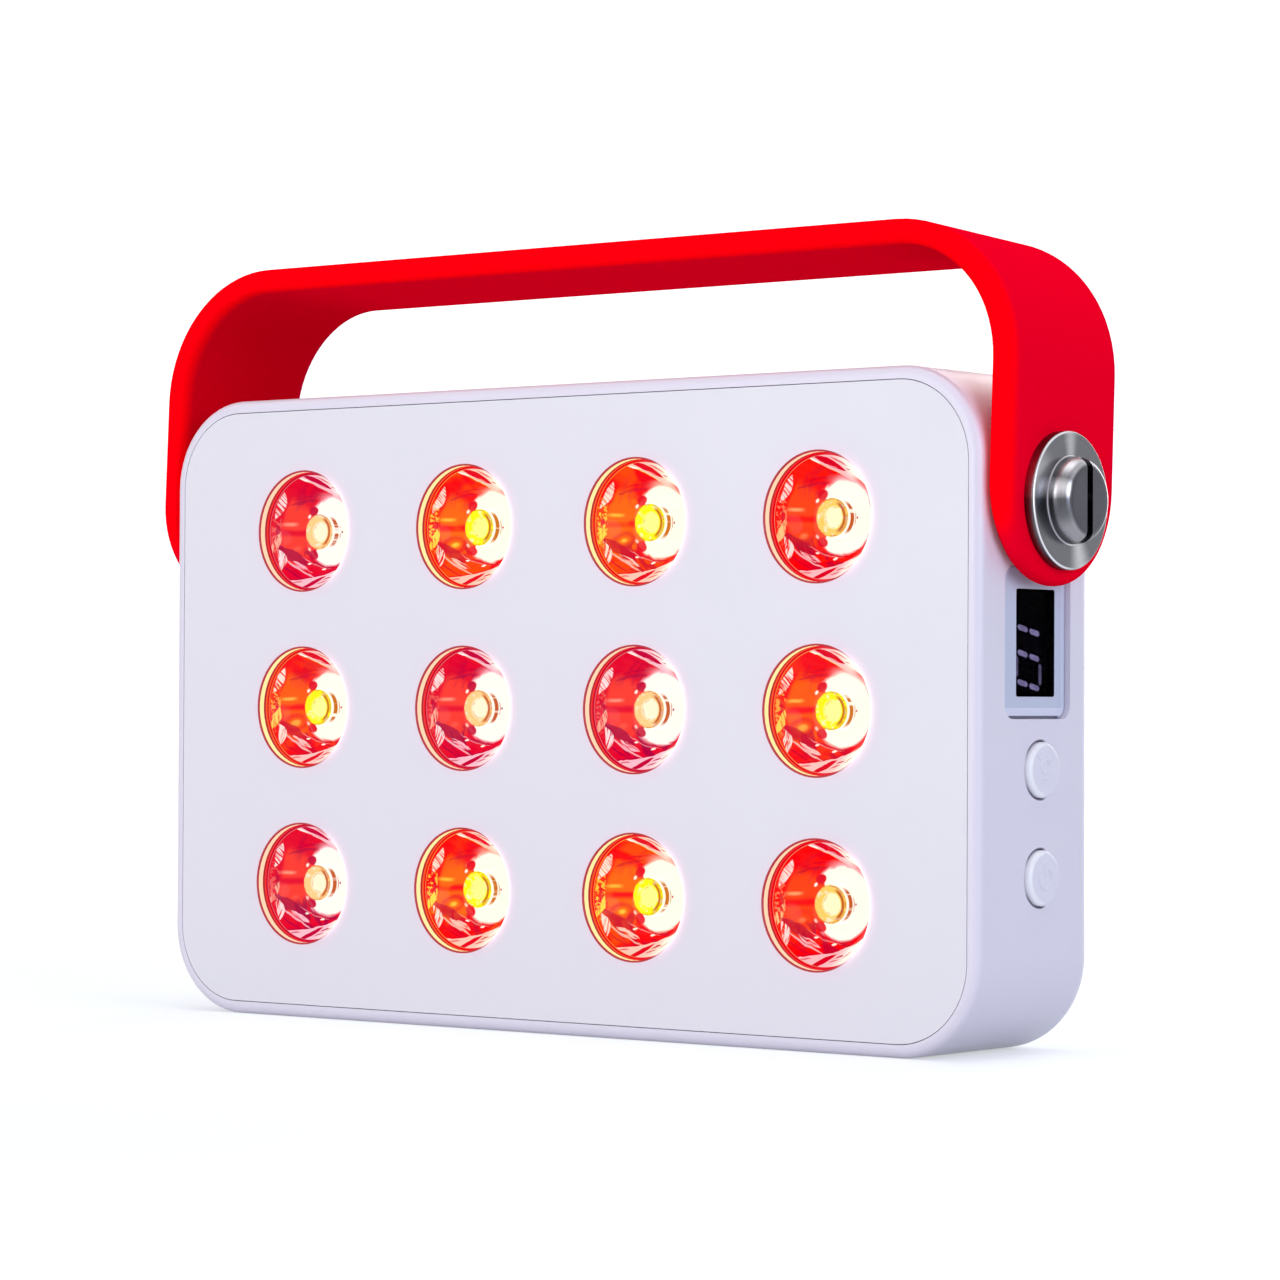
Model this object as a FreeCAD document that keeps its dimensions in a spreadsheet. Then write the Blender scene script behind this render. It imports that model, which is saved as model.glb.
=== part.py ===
import FreeCAD, Part
import math
import os

import Sketcher
from FreeCAD import Placement, Rotation, Vector

# A portable safelight: a flat white case with twelve lit lenses behind its front panel, a two-digit
# timer and two push buttons on its right side, and a red bail handle that turns on two steel screws.
#
# Millimetres. +X is the object's right side (seen from the front it carries the buttons),
# -Y its lit front, +Z up. The origin is the middle of the face the case stands on.

doc = FreeCAD.newDocument("darkroom_safelight")
sheet = doc.addObject("Spreadsheet::Sheet", "Dims")


# ---------------------------------------------------------------------------------------------
# Sizes: each one is a cell of the sheet, and a formula of sizes keeps its value and its text
# ---------------------------------------------------------------------------------------------

class Size:
    """A length worked out from the sheet: its present value and the formula that gives it."""

    def __init__(self, value, text):
        self.value = value
        self.text = text

    def __add__(self, other):
        other = as_size(other)
        return Size(self.value + other.value, "(%s + %s)" % (self.text, other.text))

    def __sub__(self, other):
        other = as_size(other)
        return Size(self.value - other.value, "(%s - %s)" % (self.text, other.text))

    def __mul__(self, factor):
        return Size(self.value * factor, "%s * %s" % (self.text, repr(float(factor))))

    def __truediv__(self, divisor):
        return Size(self.value / divisor, "%s / %s" % (self.text, repr(float(divisor))))

    def __neg__(self):
        return Size(-self.value, "(0 - %s)" % self.text)

    def __radd__(self, other):
        return as_size(other) + self

    def __rsub__(self, other):
        return as_size(other) - self

    __rmul__ = __mul__


def as_size(number):
    """A plain number as a size, and a size as it is."""
    if isinstance(number, Size):
        return number
    return Size(float(number), repr(float(number)))


next_row = 1


def cell(alias, value, note):
    """One driving dimension: its name, number and meaning in a row of the sheet."""
    global next_row
    sheet.set("A%d" % next_row, alias)
    sheet.set("B%d" % next_row, str(value))
    sheet.set("C%d" % next_row, note)
    sheet.setAlias("B%d" % next_row, alias)
    next_row += 1
    return Size(float(value), "Dims." + alias)


# The case
body_width = cell("body_width", 191, "case, left to right")
body_height = cell("body_height", 120, "case, bottom to top")
body_depth = cell("body_depth", 36.4, "case, front to back")
corner_radius = cell("corner_radius", 17, "corners of the case seen from the front")
front_edge_radius = cell("front_edge_radius", 1.8, "rounding of the front rim")
rear_edge_radius = cell("rear_edge_radius", 3.8, "rounding of the rear edge")
rim_width = cell("rim_width", 2.4, "rim left around the front panel")
ledge_width = cell("ledge_width", 1.0, "ledge inside the rim that the panel sits on")
back_wall = cell("back_wall", 2.4, "rear wall")
gasket_thickness = cell("gasket_thickness", 0.4, "seal between the panel and its ledge")

# The front panel
panel_thickness = cell("panel_thickness", 2.4, "front panel")
panel_gap = cell("panel_gap", 0.15, "clearance between the panel and the rim")
lens_hole_diameter = cell("lens_hole_diameter", 22.9, "holes in the panel")
lens_hole_bevel = cell("lens_hole_bevel", 0.25, "broken edge of each hole")
column_pitch = cell("column_pitch", 40.8, "holes, centre to centre across")
row_pitch = cell("row_pitch", 34.1, "holes, centre to centre up")
panel_post_diameter = cell("panel_post_diameter", 7, "posts that take the case screws")
panel_post_inset_x = cell("panel_post_inset_x", 12.5, "outer posts, in from the side of the case")
panel_post_inset_z = cell("panel_post_inset_z", 12, "posts, in from the top and bottom")
standoff_diameter = cell("standoff_diameter", 6, "short posts that hold the lamp board")

# Lenses, emitters and the board behind them
lens_lip = cell("lens_lip", 0.95, "overlap of a lens flange behind the panel")
lens_flange_thickness = cell("lens_flange_thickness", 1.2, "flange of a lens")
lens_depth = cell("lens_depth", 12.2, "lens, front face to the board")
lens_mouth_inset = cell("lens_mouth_inset", 0.7, "cone starts this far inside the hole")
lens_neck_diameter = cell("lens_neck_diameter", 10, "rear collar of a lens")
lens_neck_length = cell("lens_neck_length", 1.4, "straight part of the rear collar")
lens_well_diameter = cell("lens_well_diameter", 6.8, "hollow in the middle of a lens")
lens_well_depth = cell("lens_well_depth", 5.6, "depth of that hollow")
emitter_room_diameter = cell("emitter_room_diameter", 5.2, "hollow over the emitter")
emitter_room_depth = cell("emitter_room_depth", 4.0, "depth of the hollow over the emitter")
emitter_side = cell("emitter_side", 3.5, "emitter base, square")
emitter_base = cell("emitter_base", 0.7, "emitter base, thickness")
emitter_dome_diameter = cell("emitter_dome_diameter", 2.8, "emitter dome")
lamp_board_width = cell("lamp_board_width", 156, "board behind the lenses, across")
lamp_board_height = cell("lamp_board_height", 88, "board behind the lenses, up")
lamp_board_thickness = cell("lamp_board_thickness", 1.6, "board behind the lenses")
lamp_board_corner = cell("lamp_board_corner", 3, "corners of the board and the heat spreader")
fin_margin = cell("fin_margin", 4, "fins end this far inside the plate")
spreader_thickness = cell("spreader_thickness", 2.0, "plate of the heat spreader")
fin_height = cell("fin_height", 2.4, "fins of the heat spreader")
fin_thickness = cell("fin_thickness", 1.2, "one fin")
fin_pitch = cell("fin_pitch", 8.16, "fins, centre to centre")

# Screws
screw_diameter = cell("screw_diameter", 2.5, "small screws, shank")
screw_head_diameter = cell("screw_head_diameter", 4.6, "small screws, head")
screw_head_height = cell("screw_head_height", 1.6, "small screws, head")
case_screw_diameter = cell("case_screw_diameter", 3.0, "case screws, shank")
case_screw_length = cell("case_screw_length", 10, "case screws, shank")
case_head_diameter = cell("case_head_diameter", 5.6, "case screws, head")
case_head_height = cell("case_head_height", 1.2, "case screws, head")
case_head_sunk = cell("case_head_sunk", 0.2, "case screw heads lie this far inside the rear face")
screw_clearance = cell("screw_clearance", 0.1, "around a shank or a head that passes through")
lamp_screw_bite = cell("lamp_screw_bite", 6, "lamp board screws, inside their standoffs")
tray_screw_bite = cell("tray_screw_bite", 2.5, "battery tray screws, inside their bosses")
control_screw_bite = cell("control_screw_bite", 5, "control board screws, inside their bosses")

# Battery
cell_width = cell("cell_width", 66, "battery cell, across")
cell_height = cell("cell_height", 70, "battery cell, up")
cell_clearance = cell("cell_clearance", 0.25, "around a cell in its tray")
cell_headroom = cell("cell_headroom", 0.6, "between a cell and the tray cover")
tray_clearance = cell("tray_clearance", 5.0, "plate of the heat spreader to the rim of the tray")
tray_wall = cell("tray_wall", 1.5, "walls of the battery tray")
tray_floor = cell("tray_floor", 1.2, "floor of the battery tray")
tray_lug_reach = cell("tray_lug_reach", 7.5, "lugs, out from the tray wall")
tray_lug_width = cell("tray_lug_width", 8, "lugs, up")
tray_lug_thickness = cell("tray_lug_thickness", 1.6, "lugs")
tray_lug_spread = cell("tray_lug_spread", 44, "lugs, centre to centre up")
tray_boss_height = cell("tray_boss_height", 3, "bosses on the rear wall under the lugs")
tray_boss_diameter = cell("tray_boss_diameter", 6, "bosses on the rear wall under the lugs")
lead_thickness = cell("lead_thickness", 0.4, "flat leads")
lead_width = cell("lead_width", 8, "flat leads")
lead_bend = cell("lead_bend", 1.6, "inside bend of a flat lead")
lead_offset = cell("lead_offset", 1.5, "battery lead, forward of the middle of the cells")
lead_reach = cell("lead_reach", 7, "flat leads, forward along the control board")
lead_lap = cell("lead_lap", 3.5, "lamp lead, overlap on the lamp board")
battery_lead_height = cell("battery_lead_height", 64, "height of the battery lead")

# Side controls
control_board_thickness = cell("control_board_thickness", 1.6, "upright board behind the controls")
control_board_margin = cell("control_board_margin", 5.2, "that board, in from the front and rear faces")
control_board_low = cell("control_board_low", 18, "height of its lower edge")
control_board_high = cell("control_board_high", 87, "height of its upper edge")
control_board_reach = cell("control_board_reach", 11.9, "its outer face, in from the side of the case")
board_boss_diameter = cell("board_boss_diameter", 5, "bosses of the side wall that carry it")
board_boss_inset = cell("board_boss_inset", 3, "those bosses, in from the edges of the board")
board_boss_low = cell("board_boss_low", 23, "height of the lower pair")
board_boss_high = cell("board_boss_high", 54.5, "height of the upper pair")
controls_offset = cell("controls_offset", 0.9, "window and buttons, back from mid depth")
power_height = cell("power_height", 31.1, "height of the lower button")
button_pitch = cell("button_pitch", 18.8, "buttons, centre to centre")
button_hole_diameter = cell("button_hole_diameter", 10.2, "button holes")
button_gap = cell("button_gap", 0.2, "clearance around a button in its hole")
button_proud = cell("button_proud", 1.15, "buttons stand out from the side")
button_edge_radius = cell("button_edge_radius", 0.8, "rounding of a button")
button_flange_lip = cell("button_flange_lip", 1.1, "flange that keeps a button in its hole")
button_flange_thickness = cell("button_flange_thickness", 1.0, "that flange")
button_stem_diameter = cell("button_stem_diameter", 4, "stem behind a button")
button_travel = cell("button_travel", 0.6, "travel of a button")
switch_side = cell("switch_side", 6, "switch body, square")
switch_height = cell("switch_height", 3.5, "switch body")
plunger_diameter = cell("plunger_diameter", 3.4, "switch plunger")
plunger_proud = cell("plunger_proud", 1.0, "switch plunger, out of its body")
plunger_depth = cell("plunger_depth", 1.0, "switch plunger, inside its body")
plunger_gap = cell("plunger_gap", 0.1, "around the plunger in the switch")

# Display
bezel_width = cell("bezel_width", 20.4, "display surround, front to back")
bezel_height = cell("bezel_height", 26, "display surround, up")
bezel_low = cell("bezel_low", 59, "height of its lower edge")
bezel_corner_radius = cell("bezel_corner_radius", 2.4, "its corners")
bezel_thickness = cell("bezel_thickness", 1.0, "display surround")
bezel_sunk = cell("bezel_sunk", 1.1, "surround lies this far inside the side face")
bezel_gap = cell("bezel_gap", 0.25, "clearance around the surround")
window_width = cell("window_width", 12.3, "window opening, front to back")
window_height = cell("window_height", 18.75, "window opening, up")
window_middle = cell("window_middle", 72.0, "height of its centre")
window_corner_radius = cell("window_corner_radius", 0.5, "its corners")
window_gap = cell("window_gap", 0.05, "around the window in the surround")
module_border = cell("module_border", 1.1, "display module, beyond the window all round")
module_gap = cell("module_gap", 0.15, "around the module in the side wall")
module_rim = cell("module_rim", 0.5, "ledge of the module under the window's edge")
digit_depth = cell("digit_depth", 0.8, "digits lie this far behind the window")
digit_height = cell("digit_height", 7.6, "digits, foot to head")
digit_width = cell("digit_width", 4.9, "digits, side to side")
digit_pitch = cell("digit_pitch", 9.25, "digits, centre to centre")
segment_width = cell("segment_width", 0.9, "one bar of a digit")
segment_thickness = cell("segment_thickness", 0.3, "bars stand out from the module")
segment_gap = cell("segment_gap", 0.5, "between two bars in line")
socket_height = cell("socket_height", 38, "height of the charge socket")
socket_width = cell("socket_width", 9.0, "charge socket, up")
socket_thickness = cell("socket_thickness", 3.2, "charge socket, across")
socket_length = cell("socket_length", 8.2, "charge socket, front to back")
socket_sunk = cell("socket_sunk", 0.6, "socket mouth, inside the rear face")
socket_shell = cell("socket_shell", 0.35, "metal shell of the socket")
socket_tongue = cell("socket_tongue", 0.8, "tongue in the socket")
socket_gap = cell("socket_gap", 0.3, "around the socket in the rear wall")

# Handle and its pivots
pivot_height = cell("pivot_height", 96.6, "height of the handle's axis")
handle_gap = cell("handle_gap", 0.5, "between the case and a handle arm")
handle_thickness = cell("handle_thickness", 4.3, "strap of the handle")
handle_width = cell("handle_width", 35.4, "strap, front to back")
handle_rise = cell("handle_rise", 48.7, "top of the handle above its axis")
handle_corner_radius = cell("handle_corner_radius", 25.5, "outside of its two bends")
handle_edge_radius = cell("handle_edge_radius", 2.0, "rounding of its edges")
handle_end_raise = cell("handle_end_raise", 2.9, "centre of the round arm ends above the axis")
handle_tilt = cell("handle_tilt", 2.5, "handle leans back, degrees")
core_thickness = cell("core_thickness", 1.2, "steel strip inside the strap")
core_width = cell("core_width", 25, "steel strip, front to back")
bush_wall = cell("bush_wall", 2.0, "bush in each arm")
pivot_running_gap = cell("pivot_running_gap", 0.05, "shoulder in its bush, and flange over the arm")
shoulder_diameter = cell("shoulder_diameter", 9, "shoulder of a pivot screw")
thread_diameter = cell("thread_diameter", 6, "thread of a pivot screw")
thread_length = cell("thread_length", 10, "thread of a pivot screw")
insert_wall = cell("insert_wall", 1.8, "threaded insert")
insert_length = cell("insert_length", 12, "threaded insert")
pivot_boss_wall = cell("pivot_boss_wall", 2.7, "side wall boss around an insert")
pivot_boss_floor = cell("pivot_boss_floor", 2, "boss behind an insert")
washer_wall = cell("washer_wall", 1.8, "friction washer, beyond the shoulder")
flange_diameter = cell("flange_diameter", 24.1, "flange of a pivot screw")
flange_thickness = cell("flange_thickness", 1.9, "flange of a pivot screw")
flange_edge_radius = cell("flange_edge_radius", 0.35, "rounding of the flange")
head_diameter = cell("head_diameter", 15.3, "head of a pivot screw")
head_height = cell("head_height", 3.8, "head of a pivot screw, above its flange")
head_edge_radius = cell("head_edge_radius", 2.0, "rounding of the head")
slot_width = cell("slot_width", 1.8, "coin slot")
slot_depth = cell("slot_depth", 2.2, "coin slot")

COLUMNS = (-1.5, -0.5, 0.5, 1.5)    # in column pitches, left to right
ROWS = (1, 0, -1)                   # in row pitches, top to bottom
SIDES = {"left": -1, "right": 1}
DIGIT_SLANT_SINE = 0.2              # digits lean by the angle of this sine

doc.recompute()

# Planes and heights that several pieces share
side_face = body_width / 2
front_face = -body_depth / 2
rear_face = body_depth / 2
mid_height = body_height / 2
cavity_inset = rim_width + ledge_width
side_wall_inside = side_face - cavity_inset
rear_wall_inside = rear_face - back_wall
panel_back = front_face + panel_thickness
ledge_face = panel_back + gasket_thickness
board_front = panel_back + lens_depth
board_back = board_front + lamp_board_thickness
spreader_back = board_back + spreader_thickness
post_x = side_face - panel_post_inset_x
post_z = mid_height - panel_post_inset_z
boss_floor = rear_wall_inside - tray_boss_height
tray_rim = spreader_back + tray_clearance
tray_depth = rear_wall_inside - tray_rim
cell_thickness = tray_depth - tray_floor - cell_headroom
tray_width = 2 * cell_width + 3 * tray_wall + 4 * cell_clearance
tray_height = cell_height + 2 * tray_wall + 2 * cell_clearance
cell_middle = tray_wall / 2 + cell_clearance + cell_width / 2
lug_middle = tray_width / 2 + tray_lug_reach / 2
cell_depth = rear_wall_inside - tray_floor - cell_thickness / 2
lead_level = cell_depth - lead_offset
control_board_face = side_face - control_board_reach
control_board_inside = control_board_face - control_board_thickness
control_board_depth = body_depth - 2 * control_board_margin
board_boss_spread = control_board_depth - 2 * board_boss_inset
bezel_front = side_face - bezel_sunk
bezel_back = bezel_front - bezel_thickness
bezel_middle = bezel_low + bezel_height / 2
module_width = window_width + 2 * module_border
module_height = window_height + 2 * module_border
digit_face = bezel_back - digit_depth
button_diameter = button_hole_diameter - 2 * button_gap
button_flange_back = side_wall_inside - button_flange_thickness
switch_top = control_board_face + switch_height
plunger_top = switch_top + plunger_proud
mode_height = power_height + button_pitch
insert_diameter = thread_diameter + 2 * insert_wall
handle_inside = side_face + handle_gap
handle_outside = handle_inside + handle_thickness
bush_diameter = shoulder_diameter + 2 * pivot_running_gap + 2 * bush_wall
flange_back = handle_outside + pivot_running_gap
flange_front = flange_back + flange_thickness
head_front = flange_front + head_height


# ---------------------------------------------------------------------------------------------
# Helpers
# ---------------------------------------------------------------------------------------------

def bind(thing, path, size):
    """Ties a property to the sheet."""
    thing.setExpression(path, as_size(size).text)


def place(thing, x=0, y=0, z=0):
    """Ties an object's position to the sheet."""
    bind(thing, "Placement.Base.x", x)
    bind(thing, "Placement.Base.y", y)
    bind(thing, "Placement.Base.z", z)


def new_body(name):
    body = doc.addObject("PartDesign::Body", name)
    body.Label = name
    return body


def sketch_on(body, role, offset=0):
    """A sketch on one of the body's own origin planes, moved along the plane's normal.

    XY_Plane looks along +Z, XZ_Plane along -Y with X to the right, YZ_Plane along +X with Y to the right.
    """
    planes = [feature for feature in body.Origin.OriginFeatures if feature.Role == role]
    sketch = body.newObject("Sketcher::SketchObject", body.Name + "_sketch")
    sketch.AttachmentSupport = [(planes[0], "")]
    sketch.MapMode = "FlatFace"
    bind(sketch, "AttachmentOffset.Base.z", offset)
    return sketch


def dimension(sketch, kind, references, size):
    """A driving constraint of the sketch, tied to the sheet."""
    index = sketch.addConstraint(Sketcher.Constraint(kind, *references, as_size(size).value))
    bind(sketch, "Constraints[%d]" % index, size)


def fix_point(sketch, geometry, point, x, y):
    """Ties a point of the sketch to a place: a zero is the axis itself."""
    for kind, size, axis in (("DistanceX", as_size(x), -2), ("DistanceY", as_size(y), -1)):
        if size.value == 0:
            sketch.addConstraint(Sketcher.Constraint("PointOnObject", geometry, point, axis))
        else:
            dimension(sketch, kind, (-1, 1, geometry, point), size)


def draw_circle(sketch, x, y, diameter):
    centre = Vector(as_size(x).value, as_size(y).value, 0)
    circle = sketch.addGeometry(Part.Circle(centre, Vector(0, 0, 1), as_size(diameter).value / 2))
    fix_point(sketch, circle, 3, x, y)
    dimension(sketch, "Diameter", (circle,), diameter)


def draw_polygon(sketch, points):
    """A closed outline of straight lines through points that are each tied to the sheet."""
    corners = [Vector(as_size(x).value, as_size(y).value, 0) for x, y in points]
    following = corners[1:] + corners[:1]
    lines = [sketch.addGeometry(Part.LineSegment(a, b)) for a, b in zip(corners, following)]
    for line, after in zip(lines, lines[1:] + lines[:1]):
        sketch.addConstraint(Sketcher.Constraint("Coincident", line, 2, after, 1))
    for line, (x, y) in zip(lines, points):
        fix_point(sketch, line, 1, x, y)
    return lines


def draw_rounded_rectangle(sketch, width, height, radius, x=0, y=0):
    """A rectangle with round corners about (x, y)."""
    x, y, width, height, radius = [as_size(size) for size in (x, y, width, height, radius)]
    corners = []
    for sx, sy, start in ((1, 1, 0), (-1, 1, 90), (-1, -1, 180), (1, -1, 270)):
        cx = x + sx * (width / 2 - radius)
        cy = y + sy * (height / 2 - radius)
        centre = Vector(cx.value, cy.value, 0)
        circle = Part.Circle(centre, Vector(0, 0, 1), radius.value)
        arc = sketch.addGeometry(Part.ArcOfCircle(circle, math.radians(start), math.radians(start + 90)))
        corners.append(arc)
        fix_point(sketch, arc, 3, cx, cy)
        dimension(sketch, "Radius", (arc,), radius)
    for arc, after in zip(corners, corners[1:] + corners[:1]):
        line = sketch.addGeometry(Part.LineSegment(sketch.getPoint(arc, 2), sketch.getPoint(after, 1)))
        sketch.addConstraint(Sketcher.Constraint("Tangent", arc, 2, line, 1))
        sketch.addConstraint(Sketcher.Constraint("Tangent", line, 2, after, 1))


def pad(body, sketch, length, reversed_way=False):
    feature = body.newObject("PartDesign::Pad", body.Name + "_pad")
    feature.Profile = sketch
    feature.Reversed = reversed_way
    bind(feature, "Length", length)
    doc.recompute()
    return feature


def pocket(body, sketch, length=None, reversed_way=False):
    """A pocket of the given depth, or right through. It has to remove something."""
    before = body.Shape.Volume
    feature = body.newObject("PartDesign::Pocket", body.Name + "_pocket")
    feature.Profile = sketch
    feature.Reversed = reversed_way
    if length is None:
        feature.Type = "ThroughAll"
    else:
        bind(feature, "Length", length)
    doc.recompute()
    if body.Shape.Volume > before - 0.001:
        raise RuntimeError("a pocket of %s removes nothing" % body.Label)
    return feature


def revolve(body, sketch, axis="V_Axis"):
    feature = body.newObject("PartDesign::Revolution", body.Name + "_turned")
    feature.Profile = sketch
    feature.ReferenceAxis = (sketch, [axis])
    feature.Angle = 360
    doc.recompute()
    return feature


def round_edges(body, radius, chosen, kind="PartDesign::Fillet"):
    """Rounds or bevels those edges of the body for which chosen(edge) is true."""
    base = body.Tip
    names = ["Edge%d" % (i + 1) for i, edge in enumerate(base.Shape.Edges) if chosen(edge)]
    if not names:
        raise RuntimeError("no edge of %s was chosen" % body.Label)
    feature = body.newObject(kind, body.Name + "_edges")
    feature.Base = (base, names)
    bind(feature, "Radius" if kind.endswith("Fillet") else "Size", radius)
    doc.recompute()
    return feature


def in_plane(axis, size):
    """A test for edges that lie wholly in the plane where that axis has that value."""
    level = as_size(size).value

    def test(edge):
        box = edge.BoundBox
        low, high = getattr(box, axis + "Min"), getattr(box, axis + "Max")
        return abs(low - level) < 0.01 and abs(high - level) < 0.01
    return test


ALONG = {
    "x": Rotation(Vector(0, 1, 0), 90),
    "y": Rotation(Vector(1, 0, 0), -90),
    "z": Rotation(),
}


def cylinder(name, diameter, length, x, y, z, along):
    """A cylinder from the given point in the direction of +x, +y or +z."""
    solid = doc.addObject("Part::Cylinder", name)
    solid.Placement = Placement(Vector(), ALONG[along])
    bind(solid, "Radius", as_size(diameter) / 2)
    bind(solid, "Height", length)
    place(solid, x, y, z)
    return solid


def box(name, x, y, z, middle_x, middle_y, middle_z):
    """A box of the given sizes about the given centre."""
    solid = doc.addObject("Part::Box", name)
    bind(solid, "Length", x)
    bind(solid, "Width", y)
    bind(solid, "Height", z)
    place(solid, middle_x - as_size(x) / 2, middle_y - as_size(y) / 2, middle_z - as_size(z) / 2)
    return solid


def fuse(name, solids):
    joined = doc.addObject("Part::MultiFuse", name)
    joined.Label = name
    joined.Shapes = solids
    return joined


def cut(name, base, tool):
    result = doc.addObject("Part::Cut", name)
    result.Label = name
    result.Base = base
    result.Tool = tool
    return result


def group(name, solids):
    """Identical separate solids that share one node."""
    together = doc.addObject("Part::Compound", name)
    together.Label = name
    together.Links = solids
    return together


sub_parts = []


def keep(part):
    """Adds a finished sub-part to those that are exported."""
    sub_parts.append(part)
    return part


# ---------------------------------------------------------------------------------------------
# Case
# ---------------------------------------------------------------------------------------------

def post_places():
    """The six case screws: left, middle and right, below and above."""
    return [(side * post_x, mid_height + level * post_z) for side in (-1, 0, 1) for level in (-1, 1)]


def standoff_places():
    """Six places between the lenses where the lamp board is screwed down."""
    return [(side * column_pitch, mid_height + level * row_pitch)
            for side in (-1, 0, 1) for level in (-0.5, 0.5)]


def lug_places():
    """The four screws of the battery tray."""
    return [(side * lug_middle, mid_height + level * tray_lug_spread / 2)
            for side in (-1, 1) for level in (-1, 1)]


def board_boss_places():
    """The four screws of the control board: depth and height."""
    return [(way * board_boss_spread / 2, level)
            for way in (-1, 1) for level in (board_boss_low, board_boss_high)]


def make_housing():
    """The case: a tub open to the front, with a rim, a ledge, bosses and the side openings."""
    body = new_body("rear_housing")

    outline = sketch_on(body, "XZ_Plane", -front_face)
    draw_rounded_rectangle(outline, body_width, body_height, corner_radius, 0, mid_height)
    pad(body, outline, body_depth, reversed_way=True)
    round_edges(body, rear_edge_radius, in_plane("Y", rear_face))
    round_edges(body, front_edge_radius, in_plane("Y", front_face))

    for inset, depth in ((rim_width, panel_thickness + gasket_thickness),
                         (cavity_inset, body_depth - back_wall)):
        mouth = sketch_on(body, "XZ_Plane", -front_face)
        draw_rounded_rectangle(mouth, body_width - 2 * inset, body_height - 2 * inset,
                               corner_radius - inset, 0, mid_height)
        pocket(body, mouth, depth)

    # Bosses reach half-way into the wall that carries them
    for side in SIDES.values():
        boss = sketch_on(body, "YZ_Plane", side * (side_wall_inside + ledge_width))
        draw_circle(boss, 0, pivot_height, insert_diameter + 2 * pivot_boss_wall)
        boss_length = insert_length + pivot_boss_floor - cavity_inset + ledge_width
        pad(body, boss, boss_length, reversed_way=side > 0)
    bosses = sketch_on(body, "YZ_Plane", control_board_face)
    for y, z in board_boss_places():
        draw_circle(bosses, y, z, board_boss_diameter)
    pad(body, bosses, side_wall_inside + ledge_width - control_board_face)
    bosses = sketch_on(body, "XZ_Plane", -boss_floor)
    for x, z in lug_places():
        draw_circle(bosses, x, z, tray_boss_diameter)
    pad(body, bosses, tray_boss_height + back_wall / 2, reversed_way=True)

    # Pivot holes, each as deep as its insert
    for side in SIDES.values():
        hole = sketch_on(body, "YZ_Plane", side * side_face)
        draw_circle(hole, 0, pivot_height, insert_diameter)
        pocket(body, hole, insert_length, reversed_way=side < 0)

    # Side openings: the sunk seat of the surround, the display module and the two buttons
    seat = sketch_on(body, "YZ_Plane", side_face)
    draw_rounded_rectangle(seat, bezel_width + 2 * bezel_gap, bezel_height + 2 * bezel_gap,
                           bezel_corner_radius + bezel_gap, 0, bezel_middle)
    pocket(body, seat, bezel_sunk + bezel_thickness)
    opening = sketch_on(body, "YZ_Plane", side_face)
    draw_rounded_rectangle(opening, module_width + 2 * module_gap, module_height + 2 * module_gap,
                           window_corner_radius, controls_offset, window_middle)
    for height in (mode_height, power_height):
        draw_circle(opening, controls_offset, height, button_hole_diameter)
    pocket(body, opening, cavity_inset + 0.5)

    # Screw holes of the control board and of the battery tray
    pilots = sketch_on(body, "YZ_Plane", control_board_face)
    for y, z in board_boss_places():
        draw_circle(pilots, y, z, screw_diameter)
    pocket(body, pilots, control_board_reach - cavity_inset, reversed_way=True)
    pilots = sketch_on(body, "XZ_Plane", -boss_floor)
    for x, z in lug_places():
        draw_circle(pilots, x, z, screw_diameter)
    pocket(body, pilots, tray_boss_height)

    # Rear wall: sunk case screws and the charge socket
    heads = sketch_on(body, "XZ_Plane", -rear_face)
    for x, z in post_places():
        draw_circle(heads, x, z, case_head_diameter + 2 * screw_clearance)
    pocket(body, heads, case_head_height + case_head_sunk, reversed_way=True)
    shanks = sketch_on(body, "XZ_Plane", -rear_face)
    for x, z in post_places():
        draw_circle(shanks, x, z, case_screw_diameter + 2 * screw_clearance)
    socket_middle = control_board_face + socket_thickness / 2
    mouth_radius = (socket_thickness + 2 * socket_gap) * 0.499
    draw_rounded_rectangle(shanks, socket_thickness + 2 * socket_gap, socket_width + 2 * socket_gap,
                           mouth_radius, socket_middle, socket_height)
    pocket(body, shanks, back_wall + 0.5, reversed_way=True)
    return keep(body)


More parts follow.
